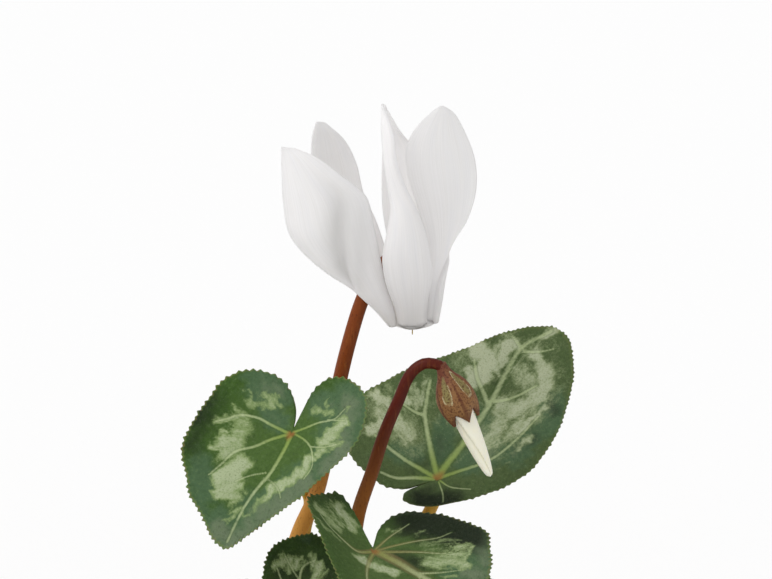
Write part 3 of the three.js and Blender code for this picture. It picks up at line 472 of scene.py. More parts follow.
# The view: a picture of this width in pixels, taken at this focal length in pixels and aimed at this
# point in metres, shows five pixels to a millimetre. The key light shines this way, spread over this
# many degrees, and the floor reaches this far each way.
PHOTO_WIDTH = 772
FOCAL_LENGTH = 3750
AIM = (0.0112, 0, 0.1685)
SENSOR_WIDTH = 36
KEY_WAY = (0.75, 0.35, -1)
KEY_SPREAD = 40
FLOOR_REACH = 6000


# Colours and settings that a user may change.


def srgb(red, green, blue):
    """A colour given as on a screen, 0 to 255, in the linear values that Blender works in."""
    return tuple(
        c / 12.92 if c <= 0.04045 else ((c + 0.055) / 1.055) ** 2.4
        for c in (red / 255, green / 255, blue / 255)
    )


def colour(name, description, *shade):
    """A colour setting, its default given as on a screen."""
    return FloatVectorProperty(
        name=name, description=description, default=srgb(*shade), subtype="COLOR", size=3,
        min=0, max=1,
    )


def millimetres(name, description, default, low, high):
    """A length setting, its default and its range given in millimetres."""
    return FloatProperty(
        name=name, description=description, default=default * MM, min=low * MM, max=high * MM,
        unit="LENGTH",
    )


class CyclamenLeafSettings(PropertyGroup):
    """Sizes and colours of the leaves."""

    centre: colour("Centre", "Green of a blade near its stalk", 74, 101, 44)
    margin: colour("Margin", "Green of a blade near its edge", 56, 86, 26)
    # The deep colour is partly a blade's own darkest green and partly painted shadow.
    deep: colour("Deep", "The darkest green of a blade", 12, 24, 4)
    # The next two colours are painted reflection, standing in for the gloss of a blade.
    sheen: colour("Sheen", "Bluish green of the duller parts of a blade", 78, 105, 76)
    frost: colour("Painted reflection", "The greyest parts of a blade", 116, 128, 102)
    olive: colour("Olive", "Green of the older leaves", 86, 98, 64)
    silver: colour("Silver", "The pale pattern on a blade", 176, 188, 148)
    haze: colour("Haze", "The fainter parts of the pattern", 136, 156, 100)
    vein: colour("Vein", "The veins on a blade's upper side", 184, 198, 148)
    under: colour("Underside", "The underside of a blade", 112, 118, 84)
    stalk: colour("Stalk", "The leaf stalks", 194, 152, 56)
    thickness: millimetres("Thickness", "Thickness of a blade at its middle", 0.45, 0.2, 0.7)
    quilting: millimetres("Quilting", "How far a blade stands up between its veins", 0.28, 0, 1)


class CyclamenFlowerSettings(PropertyGroup):
    """Sizes and colours of the flower, the bud and their stalks."""

    petal: colour("Petal", "The petals of the open flower", 245, 242, 241)
    furled: colour("Furled petal", "The petals of the bud", 255, 250, 228)
    calyx: colour("Calyx", "The sepals of flower and bud", 110, 60, 44)
    recess: colour("Recess", "The paler hollows of the sepals", 134, 128, 78)
    pollen: colour("Pollen", "The stamens", 217, 194, 122)
    flower_high: colour("Flower stalk, high", "Near the flower", 122, 58, 18)
    flower_low: colour("Flower stalk, low", "Lower down", 198, 140, 62)
    bud_high: colour("Bud stalk, high", "Near the bud", 84, 26, 14)
    bud_low: colour("Bud stalk, low", "Lower down", 142, 88, 24)
    thickness: millimetres("Thickness", "Thickness of a petal at its middle", 0.55, 0.2, 0.7)


class CyclamenPotSettings(PropertyGroup):
    """Sizes and colours of the pot, the soil and the tuber."""

    clay: colour("Clay", "The fired clay of the pot", 178, 98, 62)
    bloom: colour("Lime bloom", "The chalky bloom on the clay", 214, 178, 150)
    soil: colour("Soil", "The potting soil", 46, 33, 23)
    crumb: colour("Crumb", "The loose crumbs and bark on the soil", 84, 60, 40)
    corm: colour("Tuber", "The corky skin of the tuber", 96, 68, 46)
    crumb_size: millimetres("Crumb size", "Radius of a crumb on the soil", 0.75, 0.2, 2)
    crumb_density: FloatProperty(
        name="Crumb density", description="Crumbs on a square metre of soil",
        default=340000, min=0, max=600000,
    )
    seed: IntProperty(name="Seed", description="Seed of the crumbs' places", default=7, min=0)


class CyclamenStageSettings(PropertyGroup):
    """Floor, light and camera."""

    floor: colour("Floor", "The plain floor", 254, 254, 254)
    sky: FloatProperty(
        name="Sky", description="Brightness of the even light from all sides", default=0.65, min=0
    )
    key: FloatProperty(
        name="Key light", description="Strength of the broad soft light from the upper left",
        default=1.42, min=0,
    )
    distance: FloatProperty(
        name="Camera distance", description="From the camera to the middle of the view",
        default=0.75, min=0.1, unit="LENGTH",
    )
    elevation: FloatProperty(
        name="Camera height", description="Angle of the camera above the horizon",
        default=math.radians(22), subtype="ANGLE",
    )


# Curves and meshes.


def spline(knots, steps, closed=False):
    """Points on a centripetal Catmull-Rom curve, `steps` of them in each span."""
    knots = np.asarray(knots, float)
    if closed:
        rows = [np.roll(knots, shift, 0) for shift in (1, 0, -1, -2)]
    else:
        wide = np.vstack([2 * knots[0] - knots[1], knots, 2 * knots[-1] - knots[-2]])
        rows = [wide[:-3], wide[1:-2], wide[2:-1], wide[3:]]
    p0, p1, p2, p3 = rows
    d0, d1, d2 = (
        np.sqrt(np.linalg.norm(b - a, axis=1))[:, None] for a, b in ((p0, p1), (p1, p2), (p2, p3))
    )
    m1 = ((p1 - p0) / d0 - (p2 - p0) / (d0 + d1) + (p2 - p1) / d1) * d1
    m2 = ((p2 - p1) / d1 - (p3 - p1) / (d1 + d2) + (p3 - p2) / d2) * d1
    t = (np.arange(steps) / steps)[None, :, None]
    p1, p2, m1, m2 = (value[:, None, :] for value in (p1, p2, m1, m2))
    curve = (2 * t**3 - 3 * t**2 + 1) * p1 + (t**3 - 2 * t**2 + t) * m1
    curve = curve + (-2 * t**3 + 3 * t**2) * p2 + (t**3 - t**2) * m2
    curve = curve.reshape(-1, knots.shape[1])
    return curve if closed else np.vstack([curve, knots[-1]])


def sampled(points, run, stops):
    """A curve's points at given stops along its run."""
    return np.stack([np.interp(stops, run, column) for column in points.T], axis=1)


def even(points, count, closed=False):
    """The same curve as `count` points at even distances."""
    line = np.vstack([points, points[:1]]) if closed else points
    run = np.r_[0, np.cumsum(np.linalg.norm(np.diff(line, axis=0), axis=1))]
    return sampled(line, run, np.linspace(0, run[-1], count, endpoint=not closed))


def even_knots(knots, rows):
    """Points along a curve, evenly spread over its knots rather than over its length."""
    curve = spline(knots, 24)
    return sampled(curve, np.arange(len(curve)), np.linspace(0, len(curve) - 1, rows))


def unit(vector):
    """A direction of length 1, or a row of them."""
    vector = np.asarray(vector, float)
    return vector / np.maximum(np.linalg.norm(vector, axis=-1, keepdims=True), 1e-9)


def round_turn(count):
    """Even angles round a circle."""
    return np.arange(count) * 2 * math.pi / count


def polar(pairs):
    """Points across and along a blade from pairs of degrees from its tip and millimetres."""
    turn = np.radians([degrees for degrees, _ in pairs])
    out = np.array([distance for _, distance in pairs], float)
    return np.stack([out * np.sin(turn), out * np.cos(turn)], axis=1)


def grid_faces(rows, columns, closed=False):
    """The quads of a grid of points listed row after row; a closed one joins its last column."""
    i, j = np.meshgrid(np.arange(rows - 1), np.arange(columns - (not closed)), indexing="ij")
    k = (j + 1) % columns
    quads = [i * columns + j, i * columns + k, (i + 1) * columns + k, (i + 1) * columns + j]
    return np.stack([q.ravel() for q in quads], axis=1)


def mesh_of(name, points, faces, material=None, floats=None, flat=None, rays=None):
    """A smooth mesh from points in millimetres, with number attributes and flat maps."""
    mesh = bpy.data.meshes.new(name)
    mesh.from_pydata((np.asarray(points) * MM).tolist(), [], [list(map(int, f)) for f in faces])
    for key, values in (floats or {}).items():
        layer = mesh.attributes.new(key, "FLOAT", "POINT")
        layer.data.foreach_set("value", np.asarray(values, np.float32))
    corners = np.empty(len(mesh.loops), np.int32)
    mesh.loops.foreach_get("vertex_index", corners)
    for key, values in (("flat", flat), ("rays", rays)):
        if values is not None:
            layer = mesh.uv_layers.new(name=key)
            layer.data.foreach_set("uv", np.asarray(values, np.float32)[corners].ravel())
    mesh.polygons.foreach_set("use_smooth", [True] * len(mesh.polygons))
    if material:
        mesh.materials.append(material)
    mesh.validate()
    mesh.update()
    return mesh


def shown(name, data):
    """An object in the scene."""
    made = bpy.data.objects.new(name, data)
    bpy.context.scene.collection.objects.link(made)
    return made


def finish_piece(name, mesh, nodes):
    """Shows a mesh in place of its CAD nodes."""
    made = shown(name, mesh)
    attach(made, "root")
    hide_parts(*nodes)
    return made


def joined(parts):
    """Several lists of points and faces as one."""
    points, faces, start = [], [], 0
    for some, quads in parts:
        points.append(some)
        faces += [[c + start for c in face] for face in quads]
        start += len(some)
    return np.vstack(points), faces


def capped(grid, low, high):
    """Rings of points, each row joined to the next, closed by a point below and one above."""
    rows, sectors = grid.shape[:2]
    faces = grid_faces(rows, sectors, closed=True).tolist()
    pole, last = rows * sectors, (rows - 1) * sectors
    for j in range(sectors):
        k = (j + 1) % sectors
        faces += [[pole, k, j], [pole + 1, last + j, last + k]]
    return np.vstack([grid.reshape(-1, 3), [[0, 0, low], [0, 0, high]]]), faces


def lathe(profile, sectors, swell=None):
    """A body of revolution from pairs of radius and height, closed at both poles."""
    profile = np.asarray(profile, float)
    turn = round_turn(sectors)
    radius = np.repeat(profile[1:-1, :1], sectors, axis=1)
    height = np.repeat(profile[1:-1, 1:], sectors, axis=1)
    if swell is not None:
        radius, height = swell(radius, height, turn[None, :])
    grid = np.stack([radius * np.cos(turn), radius * np.sin(turn), height], axis=2)
    return capped(grid, profile[0, 1], profile[-1, 1])


def rounded(profile, steps):
    """A smooth profile through the given points, its two ends kept on the axis."""
    curve = spline(profile, steps)
    curve[:, 0] = np.maximum(curve[:, 0], 0)
    return curve


def along_bud(points):
    """Points about +Z moved onto the bud's own axis."""
    turn = Vector((0, 0, 1)).rotation_difference(Vector(BUD_AXIS)).to_matrix()
    return points @ np.array(turn).T + np.array(BUD_AT)


# Node wires.


class Wire:
    """A node socket that Python's own operators can be used on."""

    def __init__(self, tree, socket=None):
        self.tree = tree
        self.socket = socket

    def node(self, kind, inputs=None, out=0, **settings):
        """Adds one node, its settings first, and returns the wire from one of its outputs."""
        made = self.tree.nodes.new(kind)
        for name, value in settings.items():
            setattr(made, name, value)
        for name, value in (inputs or {}).items():
            if isinstance(value, Wire):
                self.tree.links.new(value.socket, made.inputs[name])
            else:
                made.inputs[name].default_value = value
        return Wire(self.tree, made.outputs[out])

    def math(self, operation, *values):
        """One Math node on the given values."""
        return self.node("ShaderNodeMath", dict(enumerate(values)), operation=operation)

    def __add__(self, other):
        return self.math("ADD", self, other)

    __radd__ = __add__

    def __sub__(self, other):
        return self.math("SUBTRACT", self, other)

    def __rsub__(self, other):
        return self.math("SUBTRACT", other, self)

    def __mul__(self, other):
        return self.math("MULTIPLY", self, other)

    __rmul__ = __mul__

    def step(self, low, high):
        """0 below low, 1 above high and an even slope between."""
        inputs = {"Value": self, "From Min": low, "From Max": high}
        return self.node("ShaderNodeMapRange", inputs, interpolation_type="SMOOTHSTEP")

    def attribute(self, name):
        """A number kept on the piece's own points."""
        return self.node("ShaderNodeAttribute", out="Fac", attribute_name=name)

    def place(self, scale=(1, 1, 1)):
        """The place on the piece, in its own coordinates, stretched by a scale."""
        here = self.node("ShaderNodeTexCoord", out="Object")
        return self.node("ShaderNodeMapping", {"Vector": here, "Scale": scale})

    def height(self):
        """The height above the ground, in metres."""
        return self.node("ShaderNodeSeparateXYZ", {"Vector": self.place()}, "Z")

    def map(self, name):
        """The place on one of the piece's own flat maps."""
        return self.node("ShaderNodeUVMap", uv_map=name)

    def flat(self, scale=(1, 1, 1)):
        """The place on the piece's map called flat, stretched by a scale."""
        return self.node("ShaderNodeMapping", {"Vector": self.map("flat"), "Scale": scale})

    def noise(self, place, scale, detail=3, roughness=0.5):
        """Soft random values about 0.5."""
        inputs = {"Vector": place, "Scale": scale, "Detail": detail, "Roughness": roughness}
        return self.node("ShaderNodeTexNoise", inputs, "Fac")

    def cells(self, place, scale, feature="F1"):
        """Distance within a pattern of random cells."""
        inputs = {"Vector": place, "Scale": scale}
        return self.node("ShaderNodeTexVoronoi", inputs, "Distance", feature=feature)

    def blend(self, share, first, second):
        """The first colour where share is 0 and the second where it is 1."""
        first, second = (
            (*value, 1) if isinstance(value, (tuple, list)) else value for value in (first, second)
        )
        return self.node("ShaderNodeMix", {0: share, 6: first, 7: second}, 2, data_type="RGBA")

    def coats(self, ground, *coats):
        """A ground colour under coats, each a share and the colour that it blends in."""
        for share, shade in coats:
            ground = self.blend(share, ground, shade)
        return ground

    def bump(self, height, depth):
        """A normal from a height between 0 and 1 that stands for `depth` metres."""
        return self.node("ShaderNodeBump", {"Height": height, "Strength": 1, "Distance": depth})


CONSTANT_SOCKETS = {
    "gloss": "Specular IOR Level", "soft": "Subsurface Weight", "soft_colour": "Subsurface Radius",
    "soft_depth": "Subsurface Scale",
}


def new_material(name, **constants):
    """A material with constants set on its shader, and a wire to build on."""
    made = bpy.data.materials.new(name)
    made.use_nodes = True
    sockets = made.node_tree.nodes["Principled BSDF"].inputs
    for key, value in constants.items():
        sockets[CONSTANT_SOCKETS[key]].default_value = value
    return made, Wire(made.node_tree)


def dress(made, base, roughness, relief=None, depth=0.0):
    """Plugs a colour, a roughness and a relief `depth` metres deep into a material's shader."""
    plugs = {"Base Color": base, "Roughness": roughness}
    if relief is not None:
        plugs["Normal"] = base.bump(relief, depth)
    sockets = made.node_tree.nodes["Principled BSDF"].inputs
    for name, wire in plugs.items():
        made.node_tree.links.new(wire.socket, sockets[name])
    return made


# Materials.

# Second colours of the finishes, as on a screen.
SCREEN_TINTS = {
    "leaf blotch": (34, 58, 24), "leaf fleck": (108, 132, 84), "old haze": (150, 158, 124),
    "old silver": (200, 204, 176), "leaf grit": (134, 146, 124), "leaf speck": (178, 182, 156),
    "young vein": (146, 168, 84), "flush": (142, 122, 84), "leaf heart": (150, 96, 50),
    "leaf rim": (120, 146, 70), "dry rim": (138, 122, 78), "back vein": (150, 140, 100),
    "back blush": (112, 84, 78), "petal rib": (206, 203, 198), "petal cloud": (232, 232, 238),
    # The bud fold colour is painted shade under the lapping edges of the furled petals.
    # The petal valley colour is painted shade in the crease of a petal's valley.
    "petal foot": (226, 220, 212), "petal valley shade": (200, 199, 198), "bud fold shade": (190, 186, 150),
    "bud rib": (250, 248, 236), "bloom stalk streak": (176, 110, 46), "bloom stalk hair": (58, 20, 12),
    "leaf stalk foot": (158, 92, 48), "leaf stalk streak": (150, 88, 40),
    "leaf stalk fuzz": (118, 66, 34), "sepal tip": (142, 102, 62), "sepal cloud": (152, 116, 72),
    "sepal edge": (214, 210, 168), "sepal rib": (84, 38, 26), "sepal speck": (72, 34, 26),
    "pollen dark grain": (168, 128, 60), "clay cloud": (150, 74, 44), "clay grain": (124, 60, 36),
    "soil grain": (24, 17, 12), "soil pale": (70, 50, 34), "crumb dark": (50, 36, 26),
    "tuber pale": (128, 100, 74), "tuber crack": (44, 30, 22), "floor mottle": (244, 244, 244),
}
TINT = {name: srgb(*shade) for name, shade in SCREEN_TINTS.items()}


def leaf_fields(w):
    """The numbers and random patterns that a blade's finish is worked out from."""
    flat = w.flat()
    names = ("reach", "vein", "silver", "deep", "sheen", "under", "tone")
    fields = {name: w.attribute(name) for name in names}
    patterns = {
        "broad": (9, 4, 0.6), "mottle": (45, 5, 0.75), "fine": (70, 4, 0.65), "dots": (120, 2),
        "flecks": (210, 2), "grit": (330, 2, 0.6),
    }
    for name, values in patterns.items():
        fields[name] = w.noise(flat, *values)
    rays = w.noise(w.map("rays"), 1, 4, 0.7)
    return SimpleNamespace(**fields, rays=rays, dimples=w.cells(flat, 120))


def leaf_green(w, f, style):
    """The blade's greens, from its middle out to its margin, with painted reflection and painted
    shadow.
    """
    outer = (f.reach + f.broad * 0.5 - 0.25).step(0.35, 0.95)
    # Painted reflection: bluish and grey coats that stand in for the blade's gloss.
    painted_sheen_share = f.sheen + (f.broad - 0.5) * 0.7 + (f.fine - 0.5) * 0.2
    # Dark green strokes, partly the blade's own colour and partly painted shadow.
    dark = f.deep + (f.broad - 0.5) * 0.6 + (f.fine - 0.5) * 0.2
    return w.coats(
        style["centre"],
        (outer, style["margin"]),
        (f.tone * (0.55 + f.broad * 0.6), style["olive"]),
        (painted_sheen_share.step(0.1, 0.5) * 0.8, style["sheen"]),
        (painted_sheen_share.step(0.55, 0.95) * 0.75, style["frost"]),
        ((f.fine * 0.8 + f.grit * 0.4).step(0.42, 0.85) * 0.35, style["margin"]),
        (f.mottle.step(0.5, 0.68) * 0.38, TINT["leaf blotch"]),
        ((1 - f.mottle.step(0.34, 0.48)) * 0.3, TINT["leaf fleck"]),
        (dark.step(0.15, 1.15) * 0.95, style["deep"]),
    )


def leaf_silver(w, f, style, green):
    """The ragged silver pattern on the greens, and where it lies."""
    streak = f.rays - 0.5
    edge = f.silver + streak * (0.45 + f.reach.step(0.35, 0.65) * 0.7) + (f.fine - 0.5) * 0.7
    patch = (edge + (f.grit - 0.5) * 0.6).step(0.28, 0.74) * f.silver.step(0.02, 0.2)
    patch = patch * (1 - f.dots.step(0.52, 0.72) * 0.45)
    bright = (f.silver + (f.fine - 0.5) * 0.6 + streak * 0.9 + f.tone * 0.1).step(0.6, 1.05)
    young = w.blend(bright, style["haze"], style["silver"])
    old = w.blend(bright, TINT["old haze"], TINT["old silver"])
    face = w.coats(
        green,
        (patch * 0.94, w.blend(f.tone * 0.6, young, old)),
        (f.grit.step(0.48, 0.7) * f.fine.step(0.35, 0.65) * 0.22, TINT["leaf grit"]),
        (f.flecks.step(0.66, 0.72) * f.tone * 0.5, TINT["leaf speck"]),
    )
    return face, patch


def leaf_veins(w, f, style, face):
    """Pale veins with dark flanks, the flush about them, the blade's heart and its dry rim."""
    flank = f.vein.step(0.1, 0.4) * (1 - f.vein.step(0.45, 0.7))
    line = (f.vein + (f.grit - 0.5) * 0.35 + (f.fine - 0.5) * 0.5).step(0.3, 1.0)
    pale = w.blend(f.reach.step(0.05, 0.5), TINT["young vein"], style["vein"])
    flush = f.vein.step(0.02, 0.3) * (1 - f.reach.step(0.1, 0.75))
    flush = flush * f.tone.step(0.1, 0.2) * (1 - f.tone.step(0.3, 0.45))
    heart_spot = 1 - (f.reach + (f.grit - 0.5) * 0.04).step(0.015, 0.075)
    rim = (f.reach + (f.fine - 0.5) * 0.03).step(0.97, 1.0) * (1 - f.tone * 0.6)
    rim_shade = w.blend(f.fine.step(0.45, 0.6), TINT["leaf rim"], TINT["dry rim"])
    face = w.coats(
        face, (flank * 0.3, style["margin"]), (line * 0.8, pale), (flush * 0.45, TINT["flush"]),
        (heart_spot * 0.75, TINT["leaf heart"]), (rim * 0.5, rim_shade),
    )
    return face, line


def leaf_material(style):
    """Leaf blade: green with a ragged silver band, pale veins and a matt, dimpled skin."""
    made, w = new_material("Cyclamen leaf", gloss=0.14)
    f = leaf_fields(w)
    face, patch = leaf_silver(w, f, style, leaf_green(w, f, style))
    face, line = leaf_veins(w, f, style, face)
    blush = f.fine.step(0.35, 0.75) * 0.5
    back = w.coats(style["under"], (line * 0.7, TINT["back vein"]), (blush, TINT["back blush"]))
    roughness = 0.46 + f.grit * 0.14 + patch * 0.08 + f.under * 0.15
    relief = f.grit * 0.4 + f.mottle * 0.6 + (1 - f.dimples) * 0.3 + line * 0.25
    return dress(made, w.blend(f.under, face, back), roughness, relief, 0.00022)


def petal_material(style):
    """Petal: white, faintly ribbed along its length, a little light let through."""
    made, w = new_material(
        "Cyclamen petal", gloss=0.3, soft=0.6, soft_colour=(1, 1, 0.95), soft_depth=0.003
    )
    ribs = w.noise(w.flat((58, 2.2, 1)), 1, 3, 0.55)
    veins = w.noise(w.flat((150, 3.0, 1)), 1, 2, 0.5)
    cloud = w.noise(w.flat((5, 3, 1)), 1, 2)
    petal = w.coats(
        style["petal"],
        ((ribs * 0.7 + veins * 0.5).step(0.42, 0.86) * 0.24, TINT["petal rib"]),
        (cloud.step(0.35, 0.8) * 0.3, TINT["petal cloud"]),
        ((1 - w.attribute("run").step(0.0, 0.2)) * 0.4, TINT["petal foot"]),
        # Painted shade: the valley's crease darkens the petal's colour.
        (w.attribute("dip").step(0.0, 0.9) * 0.75, TINT["petal valley shade"]),
    )
    return dress(made, petal, 0.5 + veins * 0.15, ribs * 0.6 + veins * 0.5, 0.00007)


def furled_material(style):
    """Furled petals of the bud: cream, with painted shade greying them in the folds."""
    made, w = new_material(
        "Cyclamen bud petal", gloss=0.3, soft=0.4, soft_colour=(1, 0.9, 0.7), soft_depth=0.0016
    )
    ribs = w.noise(w.place((1, 1, 0.12)), 2600, 3)
    shade = w.coats(
        style["furled"],
        # Painted shade: greyer just under each lapping edge of the furled petals.
        ((1 - w.attribute("fold").step(0.0, 0.35)) * 0.5, TINT["bud fold shade"]),
        (ribs.step(0.4, 0.8) * 0.3, TINT["bud rib"]),
    )
    return dress(made, shade, 0.5 + ribs * 0.1, ribs, 0.00008)


def bloom_stalk_material(name, high, low):
    """Bloom stalk: darker and redder near the bloom, browner lower down, finely hairy."""
    made, w = new_material("Cyclamen stalk of " + name, gloss=0.16)
    streak = w.noise(w.place((1, 1, 0.08)), 1500, 4, 0.6)
    hair = w.noise(w.place((1, 1, 0.45)), 3200, 3, 0.6)
    base = w.coats(
        low,
        ((w.height() + (streak - 0.5) * 0.012).step(0.116, 0.149), high),
        (streak.step(0.5, 0.8) * 0.25, TINT["bloom stalk streak"]),
        (hair.step(0.56, 0.72) * 0.5, TINT["bloom stalk hair"]),
    )
    return dress(made, base, 0.38 + hair * 0.25, streak * 0.6 + hair * 0.5, 0.0001)


def leaf_stalk_material(style):
    """Leaf stalk: yellow-ochre with brown streaks and a fine fuzz."""
    made, w = new_material("Cyclamen leaf stalk", gloss=0.2)
    streak = w.noise(w.place((1, 1, 0.08)), 1200, 4, 0.6)
    fuzz = w.noise(w.place((1, 1, 0.5)), 3000, 3, 0.6)
    base = w.coats(
        TINT["leaf stalk foot"],
        (w.height().step(0.095, 0.12), style["stalk"]),
        (streak.step(0.46, 0.78) * 0.5, TINT["leaf stalk streak"]),
        (fuzz.step(0.58, 0.78) * 0.35, TINT["leaf stalk fuzz"]),
    )
    return dress(made, base, 0.42 + fuzz * 0.25, streak * 0.6 + fuzz * 0.5, 0.0001)


def calyx_material(style):
    """Sepals: red-brown, speckled dark, with pale-edged olive hollows between their ribs."""
    made, w = new_material("Cyclamen calyx", gloss=0.2)
    place, hollow, tip = w.place(), w.attribute("hollow"), w.attribute("tip")
    speck, cloud = w.noise(place, 3000, 2, 0.6), w.noise(place, 420, 3)
    inside = hollow + (cloud - 0.5) * 0.3
    edge = inside.step(0.5, 0.58) * (1 - inside.step(0.6, 0.7))
    rib = (1 - hollow.step(0.0, 0.05)) * tip.step(0.3, 0.5)
    base = w.coats(
        style["calyx"],
        (tip.step(0.15, 0.9), TINT["sepal tip"]),
        (cloud.step(0.4, 0.7) * 0.35, TINT["sepal cloud"]),
        (inside.step(0.5, 0.85) * 0.8, style["recess"]),
        (edge * cloud.step(0.45, 0.6) * 0.7, TINT["sepal edge"]),
        (rib * 0.6, TINT["sepal rib"]),
        (speck.step(0.5, 0.62) * 0.7, TINT["sepal speck"]),
    )
    return dress(made, base, 0.5 + speck * 0.2, cloud * 0.5 + speck * 0.6, 0.00012)


def stamen_material(style):
    """Stamens: yellow and grainy."""
    made, w = new_material("Cyclamen stamens")
    grain = w.noise(w.place(), 2600, 3)
    # The second colour is darker pollen grains, strewn at random.
    base = w.blend(grain.step(0.4, 0.7), style["pollen"], TINT["pollen dark grain"])
    return dress(made, base, 0.6 + grain * 0.3, grain, 0.0001)


def clay_material(style):
    """Fired clay: orange-brown, finely grained, with a chalky bloom low down and round the rim."""
    made, w = new_material("Cyclamen clay", gloss=0.25)
    place, height = w.place(), w.height()
    cloud, grain = w.noise(place, 28, 5, 0.6), w.noise(place, 900, 4, 0.6)
    rings = w.noise(w.place((0.05, 0.05, 1)), 420, 3)
    bloom = cloud + (1 - height.step(0.0, 0.028)) * 0.25 + height.step(0.066, 0.08) * 0.16
    base = w.coats(
        style["clay"],
        (cloud.step(0.35, 0.7) * 0.5, TINT["clay cloud"]),
        ((bloom + (grain - 0.5) * 0.3).step(0.56, 0.86) * 0.65, style["bloom"]),
        (grain.step(0.52, 0.8) * 0.35, TINT["clay grain"]),
    )
    relief = grain * 0.35 + rings * 0.5 + w.cells(place, 520).step(0.0, 0.35) * 0.3
    return dress(made, base, 0.78 + grain * 0.18, relief, 0.00035)


def soil_material(name, shade, second):
    """Potting soil and the bits on it: dark, matt and uneven."""
    made, w = new_material(name, gloss=0.2)
    place = w.place()
    cloud, grain = w.noise(place, 160, 4, 0.6), w.noise(place, 1400, 4, 0.65)
    base = w.coats(
        shade,
        (cloud.step(0.35, 0.7) * 0.7, second),
        (grain.step(0.5, 0.75) * 0.6, TINT["soil grain"]),
    )
    return dress(made, base, 0.85 + grain * 0.15, grain, 0.0005)


def corm_material(style):
    """Tuber skin: corky, cracked and dusty."""
    made, w = new_material("Cyclamen tuber", gloss=0.2)
    place = w.place()
    cloud, grain = w.noise(place, 120, 4, 0.6), w.noise(place, 1500, 3)
    cracks = w.cells(place, 260, "DISTANCE_TO_EDGE")
    base = w.coats(
        style["corm"],
        (cloud.step(0.35, 0.7), TINT["tuber pale"]),
        ((1 - cracks.step(0.0, 0.09)) * 0.8, TINT["tuber crack"]),
    )
    relief = cracks.step(0.0, 0.14) * 0.7 + grain * 0.4
    return dress(made, base, 0.8 + grain * 0.2, relief, 0.0005)


def floor_material(shade):
    """The plain floor, barely uneven."""
    made, w = new_material("Plain floor", gloss=0.1)
    mottle = w.noise(w.place(), 6, 2)
    return dress(made, w.blend(mottle * 0.02, shade, TINT["floor mottle"]), 0.9 + mottle * 0.05)


def colours(settings):
    """The colours of a settings group, by name, ready for a shader."""
    names = [p.identifier for p in settings.bl_rna.properties if getattr(p, "subtype", "") == "COLOR"]
    return {name: tuple(getattr(settings, name)) for name in names}


# Leaves.

# Finer forms of a blade: how far its teeth stand out and are cut in, and how their spacing drifts;
# the least width of its veins, how far beside them the blade dips, and how they are sunk above and
# stand out below; how uneven the blade is besides, and how round its edge.
TOOTH = {"height": 0.58, "notch": 0.18, "drift": 0.035}
VEIN = {"least": 0.26, "dip": 2.1, "sunk": 0.1, "ridge": 0.3}
WANDER = 0.12
ROUND_EDGE = 0.08

# Softness of the strokes' edges, and scales of the flat map, of the rays and of their shift.
SILVER_EDGE = 0.9
SHADE_EDGE = 2.2
MAP_SCALE = 40
RAY_SCALE = 0.16
MAP_SHIFT = 0.7
SLOPE_STEP = 0.05


def blade_rise(leaf, across, along):
    """How far the blade stands off its own flat plane, as the CAD leaf does."""
    share = np.hypot(across, along) / leaf["size"]
    turn = np.degrees(np.arctan2(across, along)) % 360
    right = turn < leaf["sinus"]
    side = smooth((np.where(right, turn, 360 - turn) - 40) / 80)
    rise = leaf["cup"] * share**2 + leaf["fold"] * (np.hypot(across, 2) - 2)
    rise = rise + np.where(right, leaf["lift"], 0) * side * share**1.3
    rise = rise - np.where(along > 0, leaf["droop"] * (along / leaf["size"]) ** 2, 0)
    ripple = np.sin(np.radians(turn * 5 + leaf["phase"]))
    return rise + leaf["wave"] * share**3 * ripple


def blade_slope(leaf, across, along):
    """How much thicker the blade is along its face's own direction where it slopes, up to 2."""
    step = SLOPE_STEP
    slope_x = blade_rise(leaf, across + step, along) - blade_rise(leaf, across - step, along)
    slope_y = blade_rise(leaf, across, along + step) - blade_rise(leaf, across, along - step)
    return np.minimum(np.hypot(1, np.hypot(slope_x, slope_y) / (2 * step)), 2)


def vein_field(leaf, across, along):
    """Two numbers for every point: how much it lies on a vein, and how near a vein it is."""
    line, near = np.zeros(len(across)), np.zeros(len(across))
    here = np.stack([across, along], axis=1)
    for width, pairs in leaf["veins"]:
        path = even(spline(polar(pairs), 8), 60)
        widths = np.maximum(width * np.linspace(0.76, 0.48, len(path)), VEIN["least"])
        gap = np.linalg.norm(here[:, None, :] - path[None, :, :], axis=2)
        best = gap.argmin(axis=1)
        gap = gap[np.arange(len(here)), best]
        strength = np.linspace(1, 0.82, len(path))[best] * (0.75 + 0.25 * min(1, width / 0.6))
        line = np.maximum(line, np.exp(-((gap / widths[best]) ** 2)) * strength)
        near = np.maximum(near, np.exp(-((gap / VEIN["dip"]) ** 2)) * min(1, 0.4 + width))
    return line, near


def wavered(across, along):
    """Points of a blade moved about by soft waves, so that a painted edge looks grown."""
    ways = [(1.7 * along, 1.1 * across), (1.9 * across, 0.9 * along)]
    drift = [0.32 * np.sin(first + 2 * np.sin(second)) for first, second in ways]
    drift[0] = drift[0] + 0.14 * np.sin(4.3 * along + 1.3 * across)
    drift[1] = drift[1] + 0.14 * np.sin(4.7 * across - 1.1 * along)
    return np.stack([across + drift[0], along + drift[1]], axis=1)


def patch_field(strokes, across, along, softness):
    """How deep each point lies in the patches that soft brush strokes paint, from 0 to 1."""
    here = wavered(across, along)
    deep = np.zeros(len(across))
    for half, strength, pairs in strokes:
        path = even(spline(polar(pairs), 6), 20)
        gap = np.linalg.norm(here[:, None] - path[None], axis=2).min(axis=1)
        share = smooth(0.5 + (half - gap) / (softness * (1 + half)))
        deep = np.maximum(deep, strength * share)
    return deep


